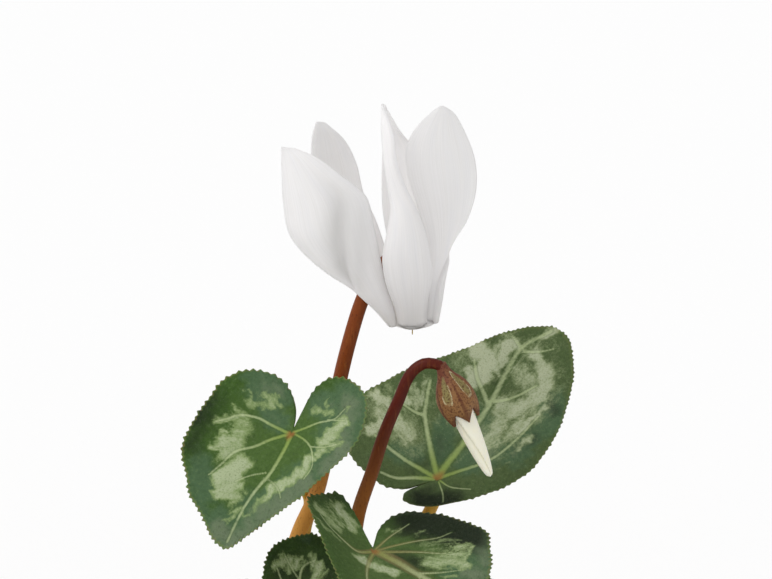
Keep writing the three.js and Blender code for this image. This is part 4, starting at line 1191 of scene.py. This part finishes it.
def toothed_rim(leaf):
    """The even outline of a blade, the way out from it, and how far its teeth stand out."""
    count = leaf["teeth"] * leaf["samples"]
    rim = even(spline(polar(leaf["outline"]), 24, closed=True), count, closed=True)
    travel = np.roll(rim, -1, 0) - np.roll(rim, 1, 0)
    outward = unit(np.stack([-travel[:, 1], travel[:, 0]], axis=1))
    share = np.arange(count) / count
    beat = leaf["teeth"] * (share + TOOTH["drift"] * np.sin(2 * np.pi * share))
    point = 1 - np.abs(2 * (beat % 1) - 1)
    fade = smooth((np.linalg.norm(rim, axis=1) - 6) / 4)
    number = np.floor(beat)
    size = 0.75 + 0.4 * np.sin(number * 2.4) * np.sin(number * 5.1 + leaf["phase"])
    teeth = fade * leaf["bite"] * (TOOTH["height"] * size * point**1.1 - TOOTH["notch"])
    return rim, outward, teeth


def leaf_axes(leaf):
    """The directions of a leaf's side, tip and face, square to each other."""
    face, tip = unit(leaf["face"]), np.array(leaf["tip"], float)
    tip = unit(tip - face * (tip @ face))
    return np.cross(tip, face), tip, face


def blade_faces(rows, count):
    """The faces of a blade: its top, its underside and a rounded rim between them."""
    sheet = grid_faces(rows, count, closed=True)[:, ::-1]
    hub, last = rows * count, (rows - 1) * count
    below, seam = hub + 1, 2 * (hub + 1)
    ring = np.arange(count)
    after = (ring + 1) % count
    core = np.stack([last + after, last + ring, np.full(count, hub)], axis=1)
    wall = np.vstack([
        np.stack([ring, after, seam + after, seam + ring], axis=1),
        np.stack([seam + ring, seam + after, below + after, below + ring], axis=1),
    ])
    parts = (sheet, core, sheet[:, ::-1] + below, core[:, ::-1] + below, wall)
    return [face for part in parts for face in part.tolist()]


def blade_mesh(name, leaf, material, thickness, quilting):
    """A toothed blade of real thickness, quilted between its veins."""
    rim, outward, teeth = toothed_rim(leaf)
    count = len(rim)
    levels = np.linspace(1, 0, leaf["rings"] + 1)[:-1]
    edge = smooth((levels - 0.9) / 0.1)
    flat = rim[None] * levels[:, None, None] + (outward * teeth[:, None])[None] * edge[:, None, None]
    flat = np.vstack([flat.reshape(-1, 2), [[0, 0]]])
    reach = np.r_[np.repeat(levels, count), 0]
    across, along = flat.T
    line, near = vein_field(leaf, across, along)
    margin = smooth((1 - reach) / 0.12)
    wander = WANDER * np.sin(across * 0.7 + leaf["phase"]) * np.sin(along * 0.6 + 1)
    puff = quilting * (1 - near) * margin * smooth(reach / 0.2) + wander * reach
    rise = blade_rise(leaf, across, along) + puff - VEIN["sunk"] * line
    side, tip, face = leaf_axes(leaf)
    top = np.array(leaf["at"]) + across[:, None] * side + along[:, None] * tip
    top = top + rise[:, None] * face
    depth = thickness * blade_slope(leaf, across, along) * (0.45 + 0.55 * smooth((1 - reach) / 0.1))
    under = top - (depth + VEIN["ridge"] * line * margin)[:, None] * face
    lift = outward[:, :1] * side + outward[:, 1:] * tip
    rounding = (top[:count] + under[:count]) / 2 + ROUND_EDGE * lift
    solid, faces = np.vstack([top, under, rounding]), blade_faces(leaf["rings"], count)
    return mesh_of(name, solid, faces, material, *blade_maps(leaf, flat, reach, line, count))


def blade_maps(leaf, flat, reach, line, count):
    """The numbers and the two flat maps that a blade's finish reads."""
    across, along = flat.T
    size = len(flat)

    def all_over(values):
        """The same values on the top, the underside and the rim."""
        return np.concatenate([values, values, values[:count]])

    on_top = np.repeat([1, 0], [size, size + count])
    silver = patch_field(leaf["silver"], across, along, SILVER_EDGE)
    floats = {
        "vein": all_over(line),
        "reach": all_over(reach),
        "silver": all_over(silver) * on_top,
        # Dark green strokes, partly the blade's own and partly painted shadow.
        "deep": all_over(patch_field(leaf["deep"], across, along, SHADE_EDGE)),
        # Painted reflection, standing in for the blade's gloss.
        "sheen": all_over(patch_field(leaf["sheen"], across, along, SHADE_EDGE)),
        "under": np.repeat([0, 1, 0.3], [size, size, count]),
        "tone": np.full(2 * size + count, leaf["tone"]),
    }
    shift = np.array(leaf["at"][:2]) * MAP_SHIFT
    turn = np.degrees(np.arctan2(across, along)) % 360
    rays = np.stack([turn, np.hypot(across, along)], axis=1) * RAY_SCALE
    return floats, all_over(flat) / MAP_SCALE + shift, all_over(rays) + shift


# Stalks, made by a node tree from their paths.

# A leaf's stalk ends a little under the blade's surface, comes up to it through a neck and bends at a
# knee that leans towards the last point of its path.
STALK_STEPS = 90
KNEE_DEPTH = 5.05
KNEE_LEAN = 0.15
NECK_DEPTH = 1.4
END_DEPTH = 0.3


def new_tree(name, inputs, output):
    """A geometry node tree: wires from its named inputs, and the socket that takes its result."""
    tree = bpy.data.node_groups.new(name, "GeometryNodeTree")
    for label, kind in inputs:
        tree.interface.new_socket(label, in_out="INPUT", socket_type="NodeSocket" + kind)
    tree.interface.new_socket(output, in_out="OUTPUT", socket_type="NodeSocketGeometry")
    given = tree.nodes.new("NodeGroupInput").outputs
    wires = {label: Wire(tree, given[label]) for label, _ in inputs}
    return tree, Wire(tree), wires, tree.nodes.new("NodeGroupOutput").inputs[output]


def stalk_tree():
    """Geometry nodes: a round, tapering, smooth stem along the edges of a path."""
    inputs = [
        ("Path", "Geometry"), ("Start radius", "Float"), ("End radius", "Float"), ("Steps", "Int"),
        ("Sides", "Int"), ("Skin", "Material"),
    ]
    tree, w, given, result = new_tree("Stalk along a path", inputs, "Stem")
    curve = w.node("GeometryNodeMeshToCurve", {"Mesh": given["Path"]})
    curve = w.node("GeometryNodeResampleCurve", {"Curve": curve, "Count": given["Steps"]})
    taper = {
        "Value": w.node("GeometryNodeSplineParameter"),
        "To Min": given["Start radius"], "To Max": given["End radius"],
    }
    circle = {"Resolution": given["Sides"], "Radius": 1}
    skin = {
        "Curve": curve, "Scale": w.node("ShaderNodeMapRange", taper), "Fill Caps": True,
        "Profile Curve": w.node("GeometryNodeCurvePrimitiveCircle", circle),
    }
    stem = w.node("GeometryNodeSetShadeSmooth", {0: w.node("GeometryNodeCurveToMesh", skin)})
    stem = w.node("GeometryNodeRealizeInstances", {0: stem})
    stem = w.node("GeometryNodeSetMaterial", {"Geometry": stem, "Material": given["Skin"]})
    tree.links.new(stem.socket, result)
    return tree


def run_tree(name, mesh, tree, values):
    """Runs a node tree on a mesh and returns the plain mesh that comes out."""
    carrier = shown(name, mesh)
    modifier = carrier.modifiers.new(tree.name, "NODES")
    modifier.node_group = tree
    for item in tree.interface.items_tree:
        if item.item_type == "SOCKET" and item.in_out == "INPUT" and item.name in values:
            modifier[item.identifier] = values[item.name]
    bpy.context.view_layer.update()
    graph = bpy.context.evaluated_depsgraph_get()
    made = bpy.data.meshes.new_from_object(carrier.evaluated_get(graph))
    made.name = name
    carrier.modifiers.remove(modifier)
    bpy.data.objects.remove(carrier)
    if not made.polygons:
        raise RuntimeError(name + ": its node tree made no faces")
    return made


def stalk_mesh(name, path, radii, tree, material, sides=16):
    """One stalk along a smooth path given in millimetres."""
    points = even(spline(path, 12), 120) * MM
    line = bpy.data.meshes.new(name + " path")
    line.from_pydata(points.tolist(), [(i, i + 1) for i in range(len(points) - 1)], [])
    values = {
        "Start radius": radii[0] * MM, "End radius": radii[1] * MM, "Steps": STALK_STEPS,
        "Sides": sides, "Skin": material,
    }
    return run_tree(name, line, tree, values)


def leaf_stalk_path(leaf):
    """The leaf's stalk, bent up to the middle of the blade's underside."""
    at, face = np.array(leaf["at"], float), unit(leaf["face"])
    bend = (at - face * KNEE_DEPTH) * (1 - KNEE_LEAN) + np.array(leaf["stalk"][-1]) * KNEE_LEAN
    return [*leaf["stalk"], bend, at - face * NECK_DEPTH, at - face * END_DEPTH]


# Flower.

# A petal thins to a share of its thickness over a part of its width and, at its tip, of its length.
# Its valley and its lap have a width; the valley fades in and out along the petal, and the shade
# painted along it, which darkens the petal's colour in the crease, reaches further on the right.
PETAL_GRID = {"rows": 84, "columns": 36}
PETAL_SIDE = {"share": 0.35, "reach": 0.22}
PETAL_TIP = {"share": 0.4, "reach": 0.12}
VALLEY = {"width": 0.14, "start": 0.14, "end": 0.4, "shade": 3}
LAP = {"width": 0.07, "end": 0.06}


def petal_sheet(spec, rows, columns):
    """The middle surface of a petal as a grid of points, and the painted shade of its valley on each.
    """
    left, right = (even_knots(spec[key], rows) for key in ("left", "right"))
    place, u = np.linspace(0, 1, rows), np.linspace(0, 1, columns)
    bow = np.interp(place, np.linspace(0, 1, len(spec["bow"])), spec["bow"])
    out = unit(np.cross(right - left, np.gradient(left, axis=0) + np.gradient(right, axis=0)))
    sheet = left[:, None] * (1 - u)[None, :, None] + right[:, None] * u[None, :, None]
    height = bow[:, None] * 4 * (u * (1 - u))[None]
    shade = np.zeros(height.shape)
    if "valley" in spec:
        line, depth = spec["valley"]
        away = (u[None] - np.interp(place, *zip(*line))[:, None]) / VALLEY["width"]
        fade = smooth((place - line[0][0]) / VALLEY["start"])
        fade = (fade * smooth((line[-1][0] - place) / VALLEY["end"]))[:, None]
        height = height - depth * fade * np.exp(-(away**2))
        # Painted shade: how much the valley's crease darkens the petal's colour, further on its right.
        shade = fade * np.exp(-(np.where(away > 0, away / VALLEY["shade"], away) ** 2))
    if "lap" in spec:
        line, rise = spec["lap"]
        over = smooth((u[None] - np.interp(place, *zip(*line))[:, None]) / LAP["width"])
        height = height + rise * over * smooth((line[-1][0] - place) / LAP["end"])[:, None]
    return sheet + out[:, None] * height[..., None], shade


def thinned(place, edge):
    """The share of its thickness that a petal has at a place, 0 at its edge."""
    return edge["share"] + (1 - edge["share"]) * smooth(place / edge["reach"])


def petal_solid(spec, thickness, rows, columns):
    """A petal with real thickness, thinner towards its edges."""
    # The second result is the valley's painted shade, kept as the attribute dip.
    sheet, dip = petal_sheet(spec, rows, columns)
    normal = unit(np.cross(np.gradient(sheet, axis=1), np.gradient(sheet, axis=0)))
    place, u = np.linspace(0, 1, rows), np.linspace(0, 1, columns)
    thin = thinned(np.minimum(u, 1 - u), PETAL_SIDE)[None] * thinned(1 - place, PETAL_TIP)[:, None]
    offset = normal * (thickness / 2 * thin)[..., None]
    quads = grid_faces(rows, columns)
    n = rows * columns
    number = np.arange(n).reshape(rows, columns)
    loop = [*number[0], *number[1:, -1], *number[-1, -2::-1], *number[-2:0:-1, 0]]
    wall = [[b, a, a + n, b + n] for a, b in zip(loop, loop[1:] + loop[:1])]
    faces = [*quads.tolist(), *(quads[:, ::-1] + n).tolist(), *wall]
    run = np.repeat(place, columns)
    flat = np.stack([np.tile(u, rows), run], axis=1)
    points = np.vstack([(sheet + offset).reshape(-1, 3), (sheet - offset).reshape(-1, 3)])
    return points, faces, np.tile(run, 2), np.tile(dip.ravel(), 2), np.tile(flat, (2, 1))


def mouth_cup():
    """The cup of the mouth, with five shallow pleats where the petals meet."""

    def pleat(radius, height, turn):
        """The cup's outside, drawn in and out five times round."""
        outer = smooth((radius - 3.4) / 0.8)
        return radius * (1 + 0.035 * outer * np.cos(5 * turn + 1.9)), height

    points, faces = lathe(rounded(MOUTH_CUP, 5), 90, pleat)
    turn = np.arctan2(points[:, 1], points[:, 0]) / (2 * math.pi) + 0.5
    flat = np.stack([turn * 3, points[:, 2] / 40], axis=1)
    return points, faces, np.zeros(len(points)), np.zeros(len(points)), flat


def corolla_mesh(material, thickness):
    """The whole corolla: the cup of the mouth and the five petals swept up from it."""
    petals = [petal_solid(spec, thickness, **PETAL_GRID) for spec in PETALS]
    pieces = [mouth_cup(), *petals]
    points, faces = joined([piece[:2] for piece in pieces])
    runs, dips, flats = zip(*(piece[2:] for piece in pieces))
    flats = [flat + np.array([0.37, 0.23]) * index for index, flat in enumerate(flats)]
    # dip holds the painted shade of the petal valleys.
    floats = {"run": np.concatenate(runs), "dip": np.concatenate(dips)}
    place = points + np.array(MOUTH)
    return mesh_of("flower petals", place, faces, material, floats, np.vstack(flats))


def sepal_wave(turn, start):
    """Five even waves round a calyx, from 1 to -1, that start at a share of a turn."""
    return np.cos(2 * np.pi * 5 * (turn - start))[None]


def sepal_cup(calyx, sectors=120):
    """A cup of five pointed sepals that opens upwards, and its hollows and tips."""
    profile, wall = spline(calyx["profile"], 6), calyx["wall"]
    top = len(profile) - 1
    turn = np.arange(sectors) / sectors
    point = 1 - np.abs((turn * 5 - 0.4) % 1 - 0.5) * 2
    share = smooth((np.arange(top + 1) / top - 0.45) / 0.55)[:, None]
    height = profile[:, :1] + calyx["points"] * share * point[None] ** 1.3
    swell = np.sin(np.linspace(0.2, 3, top + 1))[:, None]
    rib = 0.05 * sepal_wave(turn, 0.18) * swell
    radius = profile[:, 1:] * (1 + rib) - calyx["lean"] * share * point[None]
    radius = np.maximum(radius, wall)
    radius = np.vstack([radius, np.maximum(radius[:0:-1] - wall, 0.2)])
    height = np.vstack([height, height[:0:-1]])
    angle = 2 * np.pi * turn
    grid = np.stack([radius * np.cos(angle), radius * np.sin(angle), height], axis=2)
    points, faces = capped(grid, profile[0, 0], profile[1, 0] - 0.02)
    middle = np.sin(np.linspace(0, np.pi, top + 1))[:, None] ** 1.2
    hollow = (middle * (0.5 + 0.5 * sepal_wave(turn, 0.08))).ravel()
    tip = np.repeat(np.linspace(0, 1, top + 1), sectors)
    inside = top * sectors
    floats = {
        "hollow": np.r_[hollow, np.zeros(inside + 2)],
        "tip": np.r_[tip, np.ones(inside), 0, 1],
    }
    return points, faces, floats


def stamens_parts():
    """The cone of five anthers and the thread of the style that shows at the mouth."""

    def lobes(radius, height, turn):
        """Five rounded lobes above the style."""
        swell = 0.12 * np.abs(np.cos(2.5 * turn)) * smooth((height - 0.8) / 2)
        return radius * (0.94 + swell), height

    return lathe(rounded(STAMENS, 6), 60, lobes)


def bud_parts():
    """The furled petals: a slim cone wound with two turning folds."""
    folds = []

    def wound(radius, height, turn):
        """Each petal's free edge laps over the next, winding slowly up the bud."""
        wind = (FOLDS["count"] * turn / (2 * math.pi) + height * FOLDS["twist"] + FOLDS["start"]) % 1
        grip = smooth((height - 6) / 3) * smooth((24.4 - height) / 1.5)
        # fold is low just under each lapping edge, where the finish paints shade.
        folds.append(np.where(grip > 0.1, np.minimum(wind * 3, 1), 1).ravel())
        return radius * (1 + FOLDS["depth"] * (wind - 0.6) * grip), height

    points, faces = lathe(rounded(FURLED_BUD, 10), 96, wound)
    return along_bud(points), faces, np.r_[folds[0], 1, 1]


# Pot, soil and tuber.


def pot_profile():
    """Pairs of radius and height round the whole wall, from the middle of the base outside."""
    high, rim, base, wall, floor, band, step = (
        POT[key] for key in ("height", "rim", "base", "wall", "floor", "band", "step")
    )

    def outer(z):
        """The radius outside at a height below the band."""
        return base + (rim - step - base) * z / high

    inner, shoulder, below = rim - step - wall, high - band, outer(high - band)
    return [
        (0, 0), (base - 4, 0), (base - 1.2, 0), (base - 0.4, 0.3), (base, 1.1), (base + 0.6, 4),
        *[(outer(z), z) for z in range(8, shoulder, 4)],
        (below - 0.1, shoulder - 0.6), (below + 0.4, shoulder), (below + step - 0.5, shoulder + 0.1),
        (below + step, shoulder + 0.8), (rim - 0.8, high - 8), (rim - 0.2, high - 2),
        (rim - 0.3, high - 0.8), (rim - 1, high - 0.1), (rim - 2.4, high), (inner + 1.2, high - 0.1),
        (inner + 0.3, high - 0.8), (inner - 0.1, high - 2.4), (inner - 1.2, high - 10),
        (outer(floor) - wall + 1, floor + 3), (outer(floor) - wall, floor), (0, floor),
    ]


def drill_parts():
    """The round bars that cut the pot's drain holes."""
    ring, radius, low, high = (DRAIN[key] for key in ("ring", "radius", "low", "high"))
    drills = []
    for i in range(DRAIN["count"]):
        turn = 2 * math.pi * (i + 0.5) / DRAIN["count"]
        points, faces = lathe([(0, low), (radius, low), (radius, high), (0, high)], 40)
        drills.append((points + [ring * math.cos(turn), ring * math.sin(turn), 0], faces))
    return joined(drills)


def soil_parts():
    """The soil: a closed body with a fine crumbly top, hollowed for the tuber."""
    edge = SOIL["radius"]
    rings = [edge, edge - 0.4, *np.arange(edge - 1.2, SOIL["seat_radius"], -SOIL["ring"])]
    sectors, bottom = SOIL["sectors"], SOIL["bottom"]
    turn = round_turn(sectors)
    round_way = np.stack([np.cos(turn), np.sin(turn)], axis=1)
    radius = np.array(rings)[:, None] * np.ones(sectors)
    x, y = radius * np.cos(turn), radius * np.sin(turn)
    coarse = np.sin(x * 0.9 + 2 * np.sin(y * 0.7)) + np.sin(y * 1.1 + 1.7 * np.sin(x * 0.5))
    fine = np.sin(x * 2.3 + y * 1.9) * np.sin(y * 2.7 - x * 1.3)
    uneven = 0.7 * (0.35 * coarse + 0.6 * fine) * smooth((edge - radius) / 3)
    height = SOIL["top"] + uneven + 0.5 * smooth((19 - radius) / 5)
    top = np.stack([x, y, height], axis=2).reshape(-1, 3)
    low = np.c_[SOIL["bottom_radius"] * round_way, np.full(sectors, bottom)]
    faces = grid_faces(len(rings), sectors, closed=True).tolist()
    start, last = len(top), len(top) - sectors
    for j in range(sectors):
        k = (j + 1) % sectors
        faces += [
            [start + j, start + k, k, j],
            [start + sectors, start + k, start + j],
            [last + j, last + k, start + sectors + 1],
        ]
    points = np.vstack([top, low, [[0, 0, bottom], [0, 0, SOIL["seat"]]]])
    return points, faces, np.repeat([1.0, 0.0], [start, sectors + 2])


def crumb_tree():
    """Geometry nodes: loose crumbs and bark chips strewn over the top of the soil."""
    inputs = [
        ("Soil", "Geometry"), ("Density", "Float"), ("Size", "Float"), ("Seed", "Int"),
        ("Earth", "Material"), ("Crumb", "Material"),
    ]
    tree, w, given, result = new_tree("Crumbs on soil", inputs, "Covered")
    soil, seed = given["Soil"], given["Seed"]
    top = w.node("GeometryNodeInputNamedAttribute", {"Name": "top"}, data_type="FLOAT")
    high = w.node("FunctionNodeCompare", {"A": top, "B": 0.9}, operation="GREATER_THAN")
    strewn = {"Mesh": soil, "Selection": high, "Density": given["Density"], "Seed": seed}
    strewn = w.node("GeometryNodeDistributePointsOnFaces", strewn)
    ball = w.node("GeometryNodeMeshIcoSphere", {"Subdivisions": 1, "Radius": 1})
    rough = w.node("ShaderNodeTexNoise", {"Scale": 1.4}, "Color")
    rough = w.node("ShaderNodeVectorMath", {0: rough, 1: (0.5, 0.5, 0.5)}, operation="SUBTRACT")
    lump = w.node("GeometryNodeSetPosition", {"Geometry": ball, "Offset": rough})
    spin = {"Seed": seed, "Max": (6.28, 6.28, 6.28)}
    spin = w.node("FunctionNodeRandomValue", spin, "Value", data_type="FLOAT_VECTOR")
    sizes = {"Seed": seed, "Min": (0.35, 0.3, 0.25), "Max": (1.5, 1.0, 0.9)}
    sizes = w.node("FunctionNodeRandomValue", sizes, "Value", data_type="FLOAT_VECTOR")
    scale = {0: sizes, "Scale": given["Size"]}
    scale = w.node("ShaderNodeVectorMath", scale, operation="SCALE")
    crumbs = {"Points": strewn, "Instance": lump, "Rotation": spin, "Scale": scale}
    crumbs = w.node("GeometryNodeInstanceOnPoints", crumbs)
    crumbs = w.node("GeometryNodeRealizeInstances", {0: crumbs})
    crumbs = w.node("GeometryNodeSetMaterial", {"Geometry": crumbs, "Material": given["Crumb"]})
    earth = w.node("GeometryNodeSetMaterial", {"Geometry": soil, "Material": given["Earth"]})
    both = w.node("GeometryNodeJoinGeometry", {0: earth})
    tree.links.new(crumbs.socket, both.socket.node.inputs[0])
    tree.links.new(both.socket, result)
    return tree


def tuber_parts():
    """The corm: a flattened, lumpy ball."""
    half, middle = TUBER["height"] / 2, TUBER["top"] - TUBER["height"] / 2
    lift = np.linspace(-math.pi / 2, math.pi / 2, 70)
    profile = np.stack([np.cos(lift), np.sin(lift)], axis=1)

    def lumpy(radius, height, turn):
        """Low swellings all over, and an upper half that is slightly flatter."""
        bump = 0.5 * (1 - height**2) * np.sin(5 * turn + 3 * height) * np.sin(4 * height + 1)
        fine = 0.18 * np.sin(11 * turn + 9 * height) * np.sin(13 * height)
        wide = (TUBER["radius"] - 0.3 + bump + fine) * radius
        return wide, np.where(height > 0, np.abs(height) ** 1.15, height) * half + middle

    points, faces = lathe(profile, 120, lumpy)
    points[-2:, 2] = points[-2:, 2] * half + middle
    return points, faces


# Operators.


class CYCLAMEN_OT_leaves(Operator):
    """Builds the nine toothed and silver-marked blades"""

    bl_idname = "cyclamen.leaves"
    bl_label = "Leaves"

    def execute(self, context):
        style = context.scene.cyclamen_leaf
        material = leaf_material(colours(style))
        sizes = style.thickness / MM, style.quilting / MM
        for name, leaf in LEAVES.items():
            mesh = blade_mesh("blade " + name, {**CALM, **leaf}, material, *sizes)
            finish_piece("blade_" + name, mesh, ["leaf_" + name])
        return {"FINISHED"}


class CYCLAMEN_OT_leaf_stalks(Operator):
    """Builds a tapering stalk for each leaf"""

    bl_idname = "cyclamen.leaf_stalks"
    bl_label = "Leaf stalks"

    def execute(self, context):
        material = leaf_stalk_material(colours(context.scene.cyclamen_leaf))
        tree = stalk_tree()
        for name, leaf in LEAVES.items():
            path = leaf_stalk_path(leaf)
            mesh = stalk_mesh("leaf stalk " + name, path, leaf["radii"], tree, material)
            finish_piece("leaf_stalk_" + name, mesh, ["stalk_" + name])
        return {"FINISHED"}


class CYCLAMEN_OT_flower(Operator):
    """Builds the open flower: petals, calyx and stamens"""

    bl_idname = "cyclamen.flower"
    bl_label = "Flower"

    def execute(self, context):
        style = context.scene.cyclamen_flower
        shades = colours(style)
        petals = corolla_mesh(petal_material(shades), style.thickness / MM)
        finish_piece("petals", petals, ["flower_corolla"])
        points, faces, floats = sepal_cup(FLOWER_CALYX)
        points = points * [1, -1, -1] + [MOUTH[0], MOUTH[1], MOUTH[2] + FLOWER_CALYX_HEIGHT]
        calyx = mesh_of("flower calyx", points, faces, calyx_material(shades), floats)
        finish_piece("calyx_of_flower", calyx, ["flower_calyx"])
        points, faces = stamens_parts()
        cone = mesh_of("stamens", points + np.array(MOUTH), faces, stamen_material(shades))
        finish_piece("stamens", cone, ["flower_stamens"])
        return {"FINISHED"}


class CYCLAMEN_OT_bud(Operator):
    """Builds the nodding bud and its calyx"""

    bl_idname = "cyclamen.bud"
    bl_label = "Bud"

    def execute(self, context):
        shades = colours(context.scene.cyclamen_flower)
        points, faces, fold = bud_parts()
        petals = mesh_of("furled petals", points, faces, furled_material(shades), {"fold": fold})
        finish_piece("furled_petals", petals, ["bud_corolla"])
        points, faces, floats = sepal_cup(BUD_CALYX)
        calyx = mesh_of("bud calyx", along_bud(points), faces, calyx_material(shades), floats)
        finish_piece("calyx_of_bud", calyx, ["bud_calyx"])
        return {"FINISHED"}


class CYCLAMEN_OT_bloom_stalks(Operator):
    """Builds the hooked stalks of the flower and the bud"""

    bl_idname = "cyclamen.bloom_stalks"
    bl_label = "Bloom stalks"

    def execute(self, context):
        shades = colours(context.scene.cyclamen_flower)
        tree = stalk_tree()
        for name, stalk in BLOOM_STALKS.items():
            material = bloom_stalk_material(name, shades[name + "_high"], shades[name + "_low"])
            path, radii = stalk["path"], stalk["radii"]
            mesh = stalk_mesh("bloom stalk " + name, path, radii, tree, material, sides=20)
            finish_piece("bloom_stalk_" + name, mesh, [name + "_stalk"])
        return {"FINISHED"}


class CYCLAMEN_OT_pot(Operator):
    """Builds the clay pot with its drain holes"""

    bl_idname = "cyclamen.pot"
    bl_label = "Pot"

    def execute(self, context):
        material = clay_material(colours(context.scene.cyclamen_pot))
        points, faces = lathe(pot_profile(), 144)
        body = shown("pot body", mesh_of("pot", points, faces, material))
        drill = shown("drills", mesh_of("drills", *drill_parts()))
        cut = body.modifiers.new("Drain holes", "BOOLEAN")
        cut.object = drill
        cut.operation = "DIFFERENCE"
        cut.solver = "EXACT"
        graph = context.evaluated_depsgraph_get()
        made = bpy.data.meshes.new_from_object(body.evaluated_get(graph))
        bpy.data.objects.remove(drill)
        bpy.data.objects.remove(body)
        if len(made.polygons) < len(faces):
            raise RuntimeError("the drain holes were not cut")
        made.name = "pot"
        made.set_sharp_from_angle(angle=math.radians(35))
        finish_piece("clay_pot", made, ["pot"])
        return {"FINISHED"}


class CYCLAMEN_OT_soil(Operator):
    """Builds the soil, strewn with crumbs, and the tuber in it"""

    bl_idname = "cyclamen.soil"
    bl_label = "Soil and tuber"

    def execute(self, context):
        style = context.scene.cyclamen_pot
        shades = colours(style)
        earth = soil_material("Cyclamen soil", shades["soil"], TINT["soil pale"])
        crumb = soil_material("Cyclamen crumbs", shades["crumb"], TINT["crumb dark"])
        points, faces, top = soil_parts()
        ground = mesh_of("ground", points, faces, earth, {"top": top})
        values = {
            "Density": style.crumb_density, "Size": style.crumb_size, "Seed": style.seed,
            "Earth": earth, "Crumb": crumb,
        }
        mesh = run_tree("soil", ground, crumb_tree(), values)
        finish_piece("crumbly_soil", mesh, ["soil"])
        points, faces = tuber_parts()
        corm = mesh_of("corm", points, faces, corm_material(shades))
        finish_piece("corm", corm, ["tuber"])
        return {"FINISHED"}


class CYCLAMEN_OT_stage(Operator):
    """Builds the floor, the light and the camera"""

    bl_idname = "cyclamen.stage"
    bl_label = "Stage"

    def execute(self, context):
        scene = context.scene
        style = scene.cyclamen_stage
        corners = [(-1, -1, 0), (1, -1, 0), (1, 1, 0), (-1, 1, 0)]
        points = np.array(corners) * FLOOR_REACH
        sheet = mesh_of("floor", points, [(0, 1, 2, 3)], floor_material(tuple(style.floor)))
        shown("floor", sheet)
        world = bpy.data.worlds.new("Even light")
        world.use_nodes = True
        sky = world.node_tree.nodes["Background"]
        sky.inputs["Color"].default_value = (1, 1, 1, 1)
        sky.inputs["Strength"].default_value = style.sky
        scene.world = world
        light = bpy.data.lights.new("key", "SUN")
        light.energy = style.key
        light.angle = math.radians(KEY_SPREAD)
        key = shown("key", light)
        key.rotation_euler = Vector(KEY_WAY).to_track_quat("-Z", "Y").to_euler()
        lens = bpy.data.cameras.new("camera")
        lens.sensor_width = SENSOR_WIDTH
        lens.lens = lens.sensor_width * FOCAL_LENGTH / PHOTO_WIDTH
        lens.clip_start = 0.01
        camera = shown("camera", lens)
        rise = style.elevation
        back = Vector((0, -math.cos(rise), math.sin(rise)))
        camera.location = Vector(AIM) + back * style.distance
        camera.rotation_euler = (math.pi / 2 - rise, 0, 0)
        scene.camera = camera
        scene.view_settings.view_transform = "Standard"
        return {"FINISHED"}


class CYCLAMEN_PT_panel(Panel):
    """Lists the parts of the plant and their settings"""

    bl_idname = "CYCLAMEN_PT_panel"
    bl_label = "Cyclamen"
    bl_space_type = "VIEW_3D"
    bl_region_type = "UI"
    bl_category = "Cyclamen"

    def draw(self, context):
        for group, operators in STEPS:
            box = self.layout.box()
            for operator in operators:
                box.operator(operator.bl_idname)
            settings = getattr(context.scene, group)
            for name in settings.__annotations__:
                box.prop(settings, name)


STEPS = [
    ("cyclamen_leaf", [CYCLAMEN_OT_leaves, CYCLAMEN_OT_leaf_stalks]),
    ("cyclamen_flower", [CYCLAMEN_OT_flower, CYCLAMEN_OT_bud, CYCLAMEN_OT_bloom_stalks]),
    ("cyclamen_pot", [CYCLAMEN_OT_pot, CYCLAMEN_OT_soil]),
    ("cyclamen_stage", [CYCLAMEN_OT_stage]),
]
SETTINGS = {
    "cyclamen_leaf": CyclamenLeafSettings,
    "cyclamen_flower": CyclamenFlowerSettings,
    "cyclamen_pot": CyclamenPotSettings,
    "cyclamen_stage": CyclamenStageSettings,
}


def register():
    """Registers the settings, the operators and the panel."""
    for name, group in SETTINGS.items():
        bpy.utils.register_class(group)
        setattr(bpy.types.Scene, name, PointerProperty(type=group))
    for _, operators in STEPS:
        for operator in operators:
            bpy.utils.register_class(operator)
    bpy.utils.register_class(CYCLAMEN_PT_panel)


def unregister():
    """Takes them out again, last first."""
    bpy.utils.unregister_class(CYCLAMEN_PT_panel)
    for _, operators in reversed(STEPS):
        for operator in reversed(operators):
            bpy.utils.unregister_class(operator)
    for name, group in reversed(SETTINGS.items()):
        delattr(bpy.types.Scene, name)
        bpy.utils.unregister_class(group)


def main():
    """Builds everything in order."""
    register()
    for _, operators in STEPS:
        for operator in operators:
            group, name = operator.bl_idname.split(".")
            getattr(getattr(bpy.ops, group), name)()


if __name__ == "__main__":
    main()
